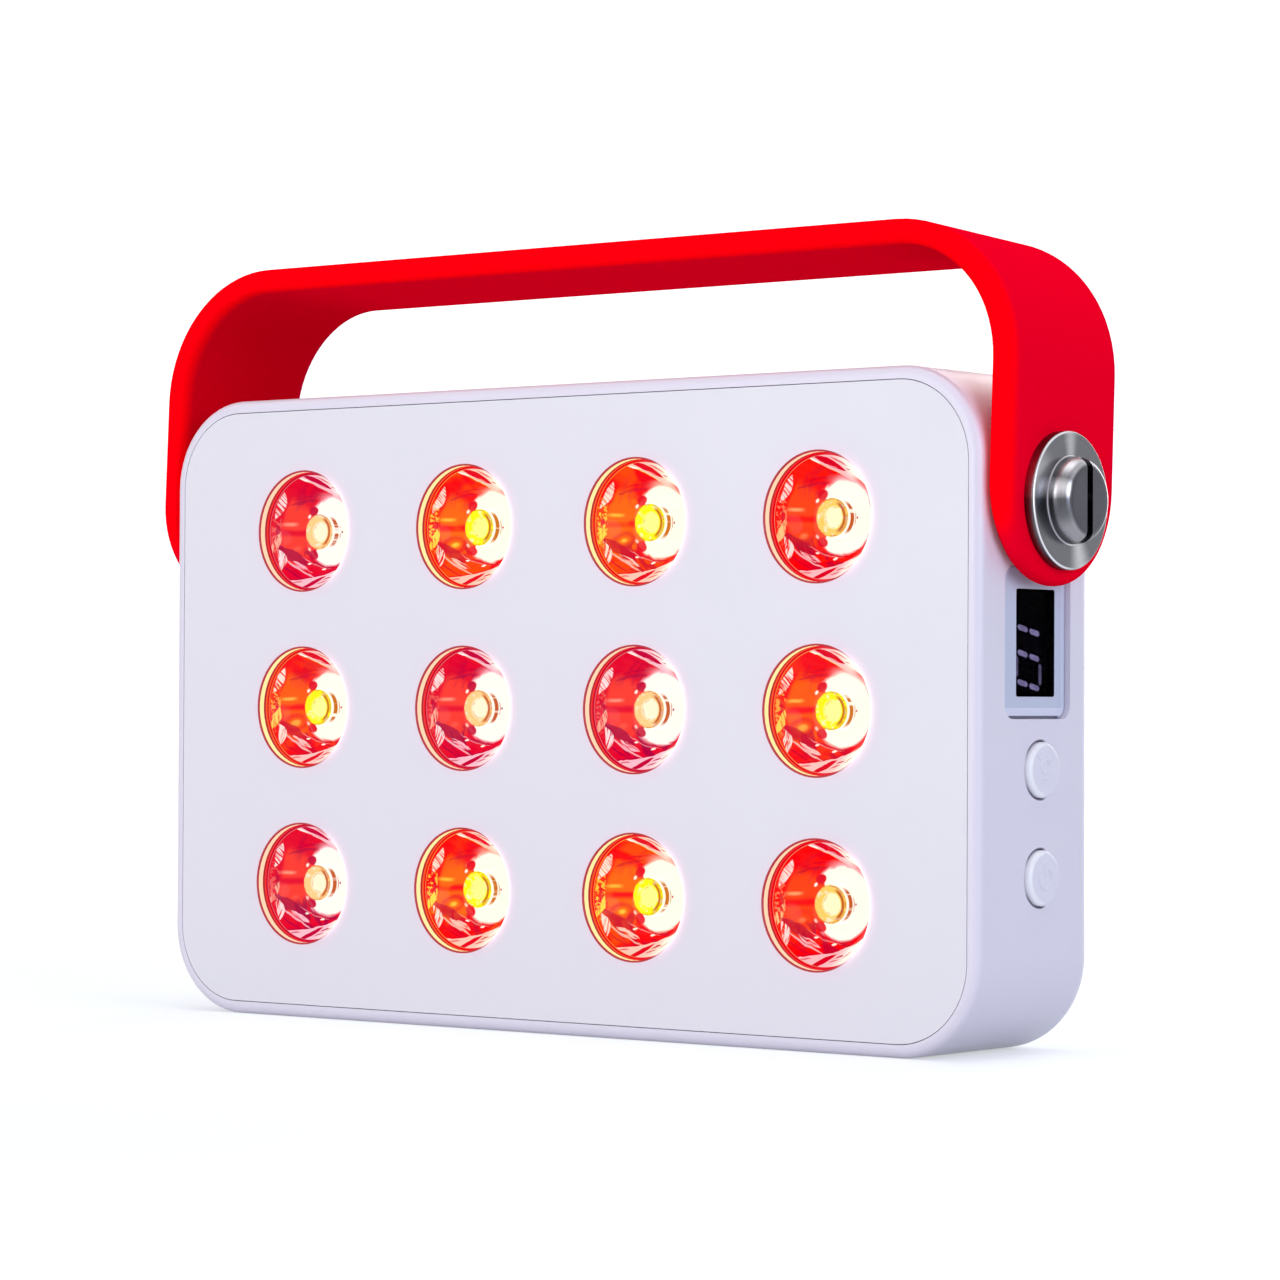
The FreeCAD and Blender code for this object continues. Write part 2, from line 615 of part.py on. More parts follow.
def make_front_panel():
    """The front panel: a plate with twelve holes, six screw posts and six standoffs behind it."""
    body = new_body("front_panel")
    inset = rim_width + panel_gap
    plate = sketch_on(body, "XZ_Plane", -front_face)
    draw_rounded_rectangle(plate, body_width - 2 * inset, body_height - 2 * inset,
                           corner_radius - inset, 0, mid_height)
    pad(body, plate, panel_thickness, reversed_way=True)

    holes = sketch_on(body, "XZ_Plane", -front_face)
    for column in COLUMNS:
        for row in ROWS:
            draw_circle(holes, column * column_pitch, mid_height + row * row_pitch, lens_hole_diameter)
    pocket(body, holes, panel_thickness)
    front = in_plane("Y", front_face)
    hole_radius = (lens_hole_diameter / 2).value

    def is_hole_rim(edge):
        return front(edge) and len(edge.Vertexes) == 1 and abs(edge.Curve.Radius - hole_radius) < 0.01

    round_edges(body, lens_hole_bevel, is_hole_rim, "PartDesign::Chamfer")

    posts = sketch_on(body, "XZ_Plane", -panel_back)
    for x, z in post_places():
        draw_circle(posts, x, z, panel_post_diameter)
    pad(body, posts, rear_wall_inside - panel_back, reversed_way=True)
    standoffs = sketch_on(body, "XZ_Plane", -panel_back)
    for x, z in standoff_places():
        draw_circle(standoffs, x, z, standoff_diameter)
    pad(body, standoffs, lens_depth, reversed_way=True)

    pilots = sketch_on(body, "XZ_Plane", -rear_wall_inside)
    for x, z in post_places():
        draw_circle(pilots, x, z, case_screw_diameter)
    pocket(body, pilots, case_screw_length, reversed_way=True)
    pilots = sketch_on(body, "XZ_Plane", -board_front)
    for x, z in standoff_places():
        draw_circle(pilots, x, z, screw_diameter)
    pocket(body, pilots, lamp_screw_bite + screw_clearance, reversed_way=True)
    return keep(body)


def make_gasket():
    """The flat seal on the ledge, under the edge of the panel."""
    body = new_body("panel_gasket")
    ring = sketch_on(body, "XZ_Plane", -panel_back)
    for inset in (rim_width + panel_gap, cavity_inset):
        draw_rounded_rectangle(ring, body_width - 2 * inset, body_height - 2 * inset,
                               corner_radius - inset, 0, mid_height)
    pad(body, ring, gasket_thickness, reversed_way=True)
    return keep(body)


def screw(name, diameter, length, head_size, head_length, x, y, z, along, way):
    """A shank from the seat of its head, in the +x or +y direction (way 1) or against it (way -1)."""
    shank_start = [x, y, z]
    head_start = [x, y, z]
    index = "xyz".index(along)
    if way < 0:
        shank_start[index] = shank_start[index] - length
    else:
        head_start[index] = head_start[index] - head_length
    shank = cylinder(name + "_shank", diameter, length, *shank_start, along)
    head = cylinder(name + "_head", head_size, head_length, *head_start, along)
    return fuse(name, [shank, head])


def make_screws():
    """The four groups of small screws."""
    case_seat = rear_face - case_head_sunk - case_head_height
    case = [screw("case_screw_%d" % i, case_screw_diameter, case_screw_length, case_head_diameter,
                  case_head_height, x, case_seat, z, "y", -1) for i, (x, z) in enumerate(post_places())]
    lamp_length = lamp_board_thickness + spreader_thickness + lamp_screw_bite
    lamp = [screw("lamp_screw_%d" % i, screw_diameter, lamp_length, screw_head_diameter, screw_head_height,
                  x, spreader_back, z, "y", -1) for i, (x, z) in enumerate(standoff_places())]
    tray_seat = boss_floor - tray_lug_thickness
    tray_length = tray_lug_thickness + tray_screw_bite
    tray = [screw("tray_screw_%d" % i, screw_diameter, tray_length, screw_head_diameter, screw_head_height,
                  x, tray_seat, z, "y", 1) for i, (x, z) in enumerate(lug_places())]
    control_length = control_board_thickness + control_screw_bite
    control = [screw("control_screw_%d" % i, screw_diameter, control_length, screw_head_diameter,
                     screw_head_height, control_board_inside, y, z, "x", 1)
               for i, (y, z) in enumerate(board_boss_places())]
    keep(group("case_screws", case))
    keep(group("lamp_board_screws", lamp))
    keep(group("battery_tray_screws", tray))
    keep(group("control_board_screws", control))


# ---------------------------------------------------------------------------------------------
# Lenses, emitters, lamp board and heat spreader
# ---------------------------------------------------------------------------------------------

def make_lens(name, column, row):
    """One collimating lens, turned about its axis: a flange, a cone and a collar that stands on the board.

    The outline is drawn with its axis upwards: 0 is the front face, and the lens goes down from it.
    """
    body = new_body(name)
    half = sketch_on(body, "XY_Plane")
    flange = lens_hole_diameter / 2 + lens_lip
    mouth = lens_hole_diameter / 2 - lens_mouth_inset
    neck = lens_neck_diameter / 2
    well = lens_well_diameter / 2
    room = emitter_room_diameter / 2
    draw_polygon(half, [
        (0, -lens_well_depth), (well * 0.8, -lens_well_depth), (well, -lens_well_depth + 0.7), (well, 0),
        (flange, 0), (flange, -lens_flange_thickness), (mouth, -lens_flange_thickness),
        (mouth * 0.55 + neck * 0.45, -lens_depth * 0.58), (neck, -(lens_depth - lens_neck_length)),
        (neck, -lens_depth), (room, -lens_depth), (room, -(lens_depth - emitter_room_depth * 0.75)),
        (room * 0.5, -(lens_depth - emitter_room_depth)), (0, -(lens_depth - emitter_room_depth))])
    revolve(body, half)
    body.Placement = Placement(Vector(), Rotation(Vector(1, 0, 0), 180))
    place(body, column * column_pitch, panel_back, mid_height + row * row_pitch)
    return keep(body)


def make_emitter(name, column, row):
    """A square base on the board with a dome on it."""
    x = column * column_pitch
    z = mid_height + row * row_pitch
    base = box(name + "_base", emitter_side, emitter_base, emitter_side, x, board_front - emitter_base / 2, z)
    dome = doc.addObject("Part::Sphere", name + "_dome")
    bind(dome, "Radius", emitter_dome_diameter / 2)
    dome.Angle1 = 0
    dome.Placement = Placement(Vector(), Rotation(Vector(1, 0, 0), 90))
    place(dome, x, board_front - emitter_base, z)
    return keep(fuse(name, [base, dome]))


def make_lamp_board():
    body = new_body("lamp_board")
    plate = sketch_on(body, "XZ_Plane", -board_front)
    draw_rounded_rectangle(plate, lamp_board_width, lamp_board_height, lamp_board_corner, 0, mid_height)
    for x, z in standoff_places():
        draw_circle(plate, x, z, screw_diameter + 2 * screw_clearance)
    pad(body, plate, lamp_board_thickness, reversed_way=True)
    return keep(body)


def make_heat_spreader():
    """The plate behind the lamp board, with upright fins that leave room for the screw heads."""
    body = new_body("heat_spreader")
    plate = sketch_on(body, "XZ_Plane", -board_back)
    draw_rounded_rectangle(plate, lamp_board_width, lamp_board_height, lamp_board_corner, 0, mid_height)
    for x, z in standoff_places():
        draw_circle(plate, x, z, screw_diameter + 2 * screw_clearance)
    pad(body, plate, spreader_thickness, reversed_way=True)
    fins = sketch_on(body, "XZ_Plane", -spreader_back)
    fin_length = lamp_board_height - 2 * fin_margin
    for number in range(-9, 9):
        x = (number + 0.5) * fin_pitch
        low = mid_height - fin_length / 2
        high = mid_height + fin_length / 2
        draw_polygon(fins, [(x - fin_thickness / 2, low), (x + fin_thickness / 2, low),
                            (x + fin_thickness / 2, high), (x - fin_thickness / 2, high)])
    pad(body, fins, fin_height, reversed_way=True)
    return keep(body)


# ---------------------------------------------------------------------------------------------
# Battery
# ---------------------------------------------------------------------------------------------

def make_battery_tray():
    """An open tray with a middle wall, four lugs and a notch for the lead."""
    body = new_body("battery_tray")
    block = sketch_on(body, "XZ_Plane", -tray_rim)
    draw_rounded_rectangle(block, tray_width, tray_height, 2, 0, mid_height)
    pad(body, block, tray_depth, reversed_way=True)
    rooms = sketch_on(body, "XZ_Plane", -tray_rim)
    for side in (-1, 1):
        draw_rounded_rectangle(rooms, cell_width + 2 * cell_clearance, cell_height + 2 * cell_clearance, 1,
                               side * cell_middle, mid_height)
    pocket(body, rooms, tray_depth - tray_floor)
    lugs = sketch_on(body, "XZ_Plane", -boss_floor)
    for x, z in lug_places():
        draw_rounded_rectangle(lugs, tray_lug_reach + 1, tray_lug_width, 1, x, z)
    pad(body, lugs, tray_lug_thickness)
    holes = sketch_on(body, "XZ_Plane", -boss_floor)
    for x, z in lug_places():
        draw_circle(holes, x, z, screw_diameter + 2 * screw_clearance)
    pocket(body, holes, tray_lug_thickness, reversed_way=True)
    notch = sketch_on(body, "YZ_Plane", tray_width / 2)
    low = battery_lead_height - lead_width / 2 - cell_clearance
    high = battery_lead_height + lead_width / 2 + cell_clearance
    draw_polygon(notch, [(tray_rim, low), (lead_level + lead_thickness + cell_clearance, low),
                         (lead_level + lead_thickness + cell_clearance, high), (tray_rim, high)])
    pocket(body, notch, tray_wall + cell_clearance / 2)
    return keep(body)


def make_cells():
    for side_name, side in SIDES.items():
        name = "battery_cell_" + side_name
        body = new_body(name)
        face = sketch_on(body, "XZ_Plane", -(cell_depth - cell_thickness / 2))
        draw_rounded_rectangle(face, cell_width, cell_height, 1, side * cell_middle, mid_height)
        pad(body, face, cell_thickness, reversed_way=True)
        keep(body)


def make_battery_cover():
    body = new_body("battery_cover")
    face = sketch_on(body, "XZ_Plane", -(tray_rim - tray_floor))
    draw_rounded_rectangle(face, tray_width, tray_height, 2, 0, mid_height)
    pad(body, face, tray_floor, reversed_way=True)
    return keep(body)


def make_lead(name, start_x, level, end_y, middle_z):
    """A flat lead: along +X at the given depth, then bent to the front along the control board."""
    body = new_body(name)
    outline = sketch_on(body, "XY_Plane", middle_z - lead_width / 2)
    wall = control_board_inside
    outer = lead_bend + lead_thickness
    far = level + lead_thickness
    centre = Vector((wall - outer).value, (far - outer).value, 0)
    arcs = []
    for radius in (outer, lead_bend):
        circle = Part.Circle(centre, Vector(0, 0, 1), radius.value)
        arc = outline.addGeometry(Part.ArcOfCircle(circle, 0, math.pi / 2))
        fix_point(outline, arc, 3, wall - outer, far - outer)
        dimension(outline, "Radius", (arc,), radius)
        arcs.append(arc)
    points = [(start_x, far), (start_x, level), (wall - lead_thickness, end_y), (wall, end_y)]
    corners = [Vector(x.value, y.value, 0) for x, y in points]
    outer_arc, inner_arc = arcs
    lines = [
        outline.addGeometry(Part.LineSegment(outline.getPoint(outer_arc, 2), corners[0])),
        outline.addGeometry(Part.LineSegment(corners[0], corners[1])),
        outline.addGeometry(Part.LineSegment(corners[1], outline.getPoint(inner_arc, 2))),
        outline.addGeometry(Part.LineSegment(outline.getPoint(inner_arc, 1), corners[2])),
        outline.addGeometry(Part.LineSegment(corners[2], corners[3])),
        outline.addGeometry(Part.LineSegment(corners[3], outline.getPoint(outer_arc, 1))),
    ]
    for first, first_end, second, second_end in (
            (outer_arc, 2, lines[0], 1), (lines[2], 2, inner_arc, 2),
            (inner_arc, 1, lines[3], 1), (lines[5], 2, outer_arc, 1)):
        outline.addConstraint(Sketcher.Constraint("Tangent", first, first_end, second, second_end))
    for first in (0, 1, 3, 4):
        outline.addConstraint(Sketcher.Constraint("Coincident", lines[first], 2, lines[first + 1], 1))
    outline.addConstraint(Sketcher.Constraint("Vertical", lines[1]))
    outline.addConstraint(Sketcher.Constraint("Horizontal", lines[4]))
    dimension(outline, "DistanceX", (-1, 1, lines[1], 1), start_x)
    dimension(outline, "DistanceY", (-1, 1, lines[4], 1), end_y)
    pad(body, outline, lead_width)
    return keep(body)


# ---------------------------------------------------------------------------------------------
# Control board, display, buttons and charge socket
# ---------------------------------------------------------------------------------------------

def make_control_board():
    body = new_body("control_board")
    plate = sketch_on(body, "YZ_Plane", control_board_inside)
    board_middle = (control_board_low + control_board_high) / 2
    draw_rounded_rectangle(plate, control_board_depth, control_board_high - control_board_low, 1, 0,
                           board_middle)
    for y, z in board_boss_places():
        draw_circle(plate, y, z, screw_diameter + 2 * screw_clearance)
    pad(body, plate, control_board_thickness)
    return keep(body)


def make_display():
    """Surround, window, module and the bars of two digits that read downwards."""
    bezel = new_body("display_bezel")
    face = sketch_on(bezel, "YZ_Plane", bezel_back)
    draw_rounded_rectangle(face, bezel_width, bezel_height, bezel_corner_radius, 0, bezel_middle)
    draw_rounded_rectangle(face, window_width, window_height, window_corner_radius, controls_offset,
                           window_middle)
    pad(bezel, face, bezel_thickness)
    keep(bezel)

    window = new_body("display_window")
    face = sketch_on(window, "YZ_Plane", bezel_back)
    draw_rounded_rectangle(face, window_width - 2 * window_gap, window_height - 2 * window_gap,
                           window_corner_radius - window_gap, controls_offset, window_middle)
    pad(window, face, bezel_thickness)
    keep(window)

    module = new_body("display_module")
    face = sketch_on(module, "YZ_Plane", control_board_face)
    draw_rounded_rectangle(face, module_width, module_height, window_corner_radius, controls_offset,
                           window_middle)
    pad(module, face, bezel_back - control_board_face)
    sunk = sketch_on(module, "YZ_Plane", bezel_back)
    draw_rounded_rectangle(sunk, window_width - 2 * module_rim, window_height - 2 * module_rim,
                           window_corner_radius, controls_offset, window_middle)
    pocket(module, sunk, digit_depth)
    keep(module)

    # Up in a digit is +Y and right is -Z. A bar's place is in half digits: head to foot, side to side.
    bars = []
    bar_length = digit_height / 2 - segment_gap - segment_width
    cross_length = digit_width - segment_width - segment_gap
    bar_middle = digit_face + segment_thickness / 2
    for digit in (0, 1):
        middle = window_middle + (0.5 - digit) * digit_pitch
        for up, right, upright in ((0.5, 1, True), (-0.5, 1, True), (0.5, -1, True), (-0.5, -1, True),
                                   (1, 0, False), (0, 0, False), (-1, 0, False)):
            y = controls_offset + up * (digit_height - segment_width) / 2
            z = middle - right * (digit_width - segment_width) / 2 - up * digit_height * DIGIT_SLANT_SINE / 2
            name = "bar_%d_%d" % (digit, len(bars))
            long_y = bar_length if upright else segment_width
            long_z = segment_width if upright else cross_length
            bars.append(box(name, segment_thickness, long_y, long_z, bar_middle, y, z))
    keep(group("display_digits", bars))


def make_button(kind, height):
    """A cap with a flange behind the wall and a stem, its switch, and the switch's plunger."""
    cap = new_body(kind + "_button")
    half = sketch_on(cap, "XZ_Plane")
    radius = button_diameter / 2
    stem = button_stem_diameter / 2
    flange = button_hole_diameter / 2 + button_flange_lip
    top = side_face + button_proud
    draw_polygon(half, [
        (plunger_top, 0), (top, 0), (top, radius), (side_wall_inside, radius),
        (side_wall_inside, flange), (button_flange_back, flange),
        (button_flange_back, stem), (plunger_top, stem)])
    revolve(cap, half, "H_Axis")
    round_edges(cap, button_edge_radius, in_plane("X", top))
    place(cap, 0, controls_offset, height)
    keep(cap)

    switch = new_body(kind + "_switch")
    base = sketch_on(switch, "YZ_Plane", control_board_face)
    draw_rounded_rectangle(base, switch_side, switch_side, 0.5)
    pad(switch, base, switch_height)
    hole = sketch_on(switch, "YZ_Plane", switch_top)
    draw_circle(hole, 0, 0, plunger_diameter + 2 * plunger_gap)
    pocket(switch, hole, plunger_depth + button_travel + plunger_gap)
    place(switch, 0, controls_offset, height)
    keep(switch)

    plunger = cylinder(kind + "_plunger", plunger_diameter, plunger_proud + plunger_depth,
                       switch_top - plunger_depth, controls_offset, height, "x")
    plunger.Label = kind + "_plunger"
    keep(plunger)


def make_charge_socket():
    """A flat oval metal shell with a tongue, soldered to the control board and open to the rear."""
    body = new_body("charge_socket")
    mouth = rear_face - socket_sunk
    middle = control_board_face + socket_thickness / 2
    shell = sketch_on(body, "XZ_Plane", -(mouth - socket_length))
    draw_rounded_rectangle(shell, socket_thickness, socket_width, socket_thickness * 0.499, middle,
                           socket_height)
    pad(body, shell, socket_length, reversed_way=True)
    inside = sketch_on(body, "XZ_Plane", -mouth)
    inner = socket_thickness - 2 * socket_shell
    draw_rounded_rectangle(inside, inner, socket_width - 2 * socket_shell, inner * 0.499, middle,
                           socket_height)
    tongue_width = socket_width - 5 * socket_shell - socket_tongue
    draw_rounded_rectangle(inside, socket_tongue, tongue_width, 0.1, middle, socket_height)
    pocket(body, inside, socket_length * 0.7, reversed_way=True)
    return keep(body)


# ---------------------------------------------------------------------------------------------
# Handle and pivots
# ---------------------------------------------------------------------------------------------

def make_bail(name, outside, thickness, width, top, radius):
    """A strip bent into a U, with round arm ends and a hole for the bush in each arm.

    It is drawn upright about the handle's axis: outside is half its span and top its height over the axis.
    """
    body = new_body(name)
    foot = handle_end_raise - width / 2
    inside = outside - thickness
    profile = sketch_on(body, "XZ_Plane", -width / 2)
    lines = []
    for side in (-1, 1):
        for reach, bend in ((outside, radius), (inside, radius - thickness)):
            centre = Vector(side * (outside - radius).value, (top - radius).value, 0)
            circle = Part.Circle(centre, Vector(0, 0, 1), bend.value)
            angles = (0, 90) if side > 0 else (90, 180)
            arc = profile.addGeometry(Part.ArcOfCircle(circle, *[math.radians(angle) for angle in angles]))
            fix_point(profile, arc, 3, side * (outside - radius), top - radius)
            dimension(profile, "Radius", (arc,), bend)
            low_end, high_end = (1, 2) if side > 0 else (2, 1)
            bottom = Vector(side * reach.value, foot.value, 0)
            line = profile.addGeometry(Part.LineSegment(bottom, profile.getPoint(arc, low_end)))
            profile.addConstraint(Sketcher.Constraint("Tangent", line, 2, arc, low_end))
            dimension(profile, "DistanceY", (-1, 1, line, 1), foot)
            lines.append((line, arc, high_end))
    for left, right in ((0, 2), (1, 3)):
        left_arc, left_end = lines[left][1:]
        right_arc, right_end = lines[right][1:]
        bar = profile.addGeometry(Part.LineSegment(profile.getPoint(left_arc, left_end),
                                                   profile.getPoint(right_arc, right_end)))
        profile.addConstraint(Sketcher.Constraint("Tangent", left_arc, left_end, bar, 1))
        profile.addConstraint(Sketcher.Constraint("Coincident", bar, 2, right_arc, right_end))
    for outer, inner in ((0, 1), (2, 3)):
        start = profile.getPoint(lines[outer][0], 1)
        end = profile.getPoint(lines[inner][0], 1)
        foot_line = profile.addGeometry(Part.LineSegment(start, end))
        profile.addConstraint(Sketcher.Constraint("Coincident", foot_line, 1, lines[outer][0], 1))
        profile.addConstraint(Sketcher.Constraint("Coincident", foot_line, 2, lines[inner][0], 1))
    pad(body, profile, width)

    # Everything outside the half circle that ends each arm goes
    ends = sketch_on(body, "YZ_Plane", outside + 1)
    half = width / 2
    beyond = half + 1
    circle = Part.Circle(Vector(0, handle_end_raise.value, 0), Vector(0, 0, 1), half.value)
    arc = ends.addGeometry(Part.ArcOfCircle(circle, math.pi, 2 * math.pi))
    fix_point(ends, arc, 3, 0, handle_end_raise)
    dimension(ends, "Radius", (arc,), half)
    points = [(half, handle_end_raise), (beyond, handle_end_raise), (beyond, foot - 1),
              (-beyond, foot - 1), (-beyond, handle_end_raise), (-half, handle_end_raise)]
    corners = [Vector(x.value, y.value, 0) for x, y in points]
    outline = [ends.addGeometry(Part.LineSegment(a, b)) for a, b in zip(corners, corners[1:])]
    for line, after in zip(outline, outline[1:]):
        ends.addConstraint(Sketcher.Constraint("Coincident", line, 2, after, 1))
    ends.addConstraint(Sketcher.Constraint("Coincident", arc, 2, outline[0], 1))
    ends.addConstraint(Sketcher.Constraint("Coincident", outline[-1], 2, arc, 1))
    for line, (x, y) in zip(outline[1:], points[1:-1]):
        fix_point(ends, line, 1, x, y)
    ends.addConstraint(Sketcher.Constraint("Horizontal", outline[0]))
    ends.addConstraint(Sketcher.Constraint("Horizontal", outline[-1]))
    pocket(body, ends)

    bores = sketch_on(body, "YZ_Plane", outside + 1)
    draw_circle(bores, 0, 0, bush_diameter)
    pocket(body, bores)
    return body


def is_long_edge(edge):
    """True for the edges that run round the strap, not those across it or round its holes."""
    bore = (bush_diameter / 2).value
    if hasattr(edge.Curve, "Radius"):
        return abs(edge.Curve.Radius - bore) > 0.01
    box_size = edge.BoundBox
    across = box_size.YLength > 0.01
    through = box_size.XLength > 0.01 and box_size.XLength < handle_thickness.value * 1.5
    return not across and not through


def lean(part):
    """Sets a piece of the handle on the pivots, leaning back."""
    part.Placement = Placement(Vector(), Rotation(Vector(1, 0, 0), -handle_tilt.value))
    place(part, 0, 0, pivot_height)


def make_handle():
    """The soft strap moulded round a steel strip, and the bush in each arm."""
    strap = make_bail("strap", handle_outside, handle_thickness, handle_width, handle_rise,
                      handle_corner_radius)
    round_edges(strap, handle_edge_radius, is_long_edge)
    cover = (handle_thickness - core_thickness) / 2
    core = make_bail("handle_core", handle_outside - cover, core_thickness, core_width,
                     handle_rise - cover, handle_corner_radius - cover)
    grip = cut("handle_grip", strap, core)
    # The cut's own placement carries the grip, and the core is placed by hand so that both agree
    lean(grip)
    keep(grip)
    leaning_core = doc.addObject("Part::Compound", "handle_core_placed")
    leaning_core.Links = [core]
    lean(leaning_core)
    core.Label = "core_strip"
    leaning_core.Label = "handle_core"
    keep(leaning_core)
    for side_name, side in SIDES.items():
        start = handle_inside if side > 0 else -handle_outside
        bore_diameter = shoulder_diameter + 2 * pivot_running_gap
        outer = cylinder("bush_outside_" + side_name, bush_diameter, handle_thickness, start, 0, 0, "x")
        inner = cylinder("bush_bore_" + side_name, bore_diameter, handle_thickness, start, 0, 0, "x")
        bush = cut("handle_bush_" + side_name, outer, inner)
        lean(bush)
        keep(bush)


def make_pivot_screw(side_name, side):
    """Thread, shoulder, flange and domed head with a coin slot, turned about the handle's axis."""
    body = new_body("pivot_screw_" + side_name)
    half = sketch_on(body, "XZ_Plane")
    thread = thread_diameter / 2
    shoulder = shoulder_diameter / 2
    flange = flange_diameter / 2
    head = head_diameter / 2
    draw_polygon(half, [
        (side_face - thread_length, 0), (head_front, 0), (head_front, head), (flange_front, head),
        (flange_front, flange), (flange_back, flange), (flange_back, shoulder), (side_face, shoulder),
        (side_face, thread), (side_face - thread_length, thread)])
    revolve(body, half, "H_Axis")
    head_edge = in_plane("X", head_front)
    flange_edge = in_plane("X", flange_front)
    round_edges(body, head_edge_radius, head_edge)
    round_edges(body, flange_edge_radius,
                lambda edge: flange_edge(edge) and edge.BoundBox.YLength > head_diameter.value * 1.2)
    slot = sketch_on(body, "XY_Plane", flange_diameter / 2)
    wide = slot_width / 2
    draw_polygon(slot, [(head_front - slot_depth, -wide), (head_front + 1, -wide),
                        (head_front + 1, wide), (head_front - slot_depth, wide)])
    pocket(body, slot)
    if side < 0:
        body.Placement = Placement(Vector(), Rotation(Vector(0, 0, 1), 180))
    place(body, 0, 0, pivot_height)
    return keep(body)


def make_pivots():
    """Screws, threaded inserts and friction washers on both sides."""
    inserts = []
    washers = []
    for side_name, side in SIDES.items():
        make_pivot_screw(side_name, side)
        insert_start = side_face - insert_length if side > 0 else -side_face
        body = cylinder("insert_outside_" + side_name, insert_diameter, insert_length, insert_start, 0,
                        pivot_height, "x")
        bore = cylinder("insert_bore_" + side_name, thread_diameter, insert_length, insert_start, 0,
                        pivot_height, "x")
        inserts.append(cut("insert_" + side_name, body, bore))
        washer_start = side_face if side > 0 else -handle_inside
        ring = cylinder("washer_outside_" + side_name, shoulder_diameter + 2 * washer_wall, handle_gap,
                        washer_start, 0, pivot_height, "x")
        hole = cylinder("washer_bore_" + side_name, shoulder_diameter + 2 * pivot_running_gap, handle_gap,
                        washer_start, 0, pivot_height, "x")
        washers.append(cut("washer_" + side_name, ring, hole))
    keep(group("pivot_inserts", inserts))
    keep(group("friction_washers", washers))


# ---------------------------------------------------------------------------------------------
# Build, check and export
# ---------------------------------------------------------------------------------------------

make_housing()
make_front_panel()
make_gasket()
for row_number, row in enumerate(ROWS, start=1):
    for column_number, column in enumerate(COLUMNS, start=1):
        make_lens("lens_%d_%d" % (row_number, column_number), column, row)
        make_emitter("emitter_%d_%d" % (row_number, column_number), column, row)
make_lamp_board()
make_heat_spreader()
make_battery_tray()
make_cells()
make_battery_cover()
make_lead("battery_lead", cell_middle + cell_width / 2, lead_level,
          lead_level - lead_reach, battery_lead_height)
make_lead("lamp_lead", lamp_board_width / 2 - lead_lap, board_front - lead_thickness,
          board_front - lead_reach, mid_height + row_pitch / 2)
make_control_board()
make_display()
make_button("mode", mode_height)
make_button("power", power_height)
make_charge_socket()
make_handle()
make_pivots()
make_screws()
doc.recompute()

for thing in doc.Objects:
    if "Invalid" in thing.State or "Error" in thing.State:
        raise RuntimeError("%s failed: %s" % (thing.Label, thing.State))
for part in sub_parts:
    if part.Shape.isNull() or not part.Shape.isValid() or not part.Shape.Solids:
        raise RuntimeError("%s has no valid solid" % part.Label)

os.makedirs("parts", exist_ok=True)
for part in sub_parts:
    part.Shape.exportStep(os.path.join("parts", part.Label + ".step"))
print("%d sub-parts written" % len(sub_parts))
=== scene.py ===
import math

import bmesh
import bpy
import numpy as np
from mathutils import Matrix, Vector


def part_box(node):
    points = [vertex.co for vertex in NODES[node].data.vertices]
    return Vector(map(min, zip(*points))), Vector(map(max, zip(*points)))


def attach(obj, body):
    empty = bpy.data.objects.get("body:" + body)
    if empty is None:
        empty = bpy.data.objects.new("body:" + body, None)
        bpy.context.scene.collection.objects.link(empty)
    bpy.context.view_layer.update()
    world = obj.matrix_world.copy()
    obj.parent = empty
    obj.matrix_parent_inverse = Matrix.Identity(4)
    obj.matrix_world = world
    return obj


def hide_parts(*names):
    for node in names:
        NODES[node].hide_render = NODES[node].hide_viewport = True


bl_info = {
    "name": "Darkroom Safelight",
    "version": (1, 0, 0),
    "blender": (4, 5, 0),
    "location": "3D View > Sidebar > Safelight",
    "description": "Finishes and fine surfaces of a portable safelight around its fixed frame",
    "category": "Object",
}

# Metres. +X is the object's right side, which carries the buttons, -Y its lit front, +Z up.
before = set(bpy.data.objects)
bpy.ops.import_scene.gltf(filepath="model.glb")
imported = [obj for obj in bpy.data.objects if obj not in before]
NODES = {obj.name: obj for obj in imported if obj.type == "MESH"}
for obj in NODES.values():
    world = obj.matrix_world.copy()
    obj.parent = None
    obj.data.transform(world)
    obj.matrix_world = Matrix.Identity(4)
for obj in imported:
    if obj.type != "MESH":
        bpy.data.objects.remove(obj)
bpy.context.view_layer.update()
MM = 0.001


# ---------------------------------------------------------------------------------------------
# Places read from the frame
# ---------------------------------------------------------------------------------------------

def middle(node):
    """The centre of a node's box."""
    low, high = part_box(node)
    return (low + high) / 2


PANEL_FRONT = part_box("front_panel")[0].y
PANEL_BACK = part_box("lens_1_1")[0].y
PANEL_HOLE = 11.45 * MM
LENS_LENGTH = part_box("lens_1_1")[1].y - PANEL_BACK
LENS_RADIUS = (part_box("lens_1_1")[1].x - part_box("lens_1_1")[0].x) / 2
COLUMN_PITCH = middle("lens_1_2").x - middle("lens_1_1").x
ROW_PITCH = middle("lens_1_1").z - middle("lens_2_1").z
MID_HEIGHT = middle("lens_2_1").z
SIDE_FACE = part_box("rear_housing")[1].x
PIVOT = middle("pivot_screw_right")
HANDLE_LEAN = math.radians(2.5)


# ---------------------------------------------------------------------------------------------
# Sizes and colours that a user would change
# ---------------------------------------------------------------------------------------------

def length(name, default, description):
    return bpy.props.FloatProperty(name=name, default=default, unit="LENGTH", description=description)


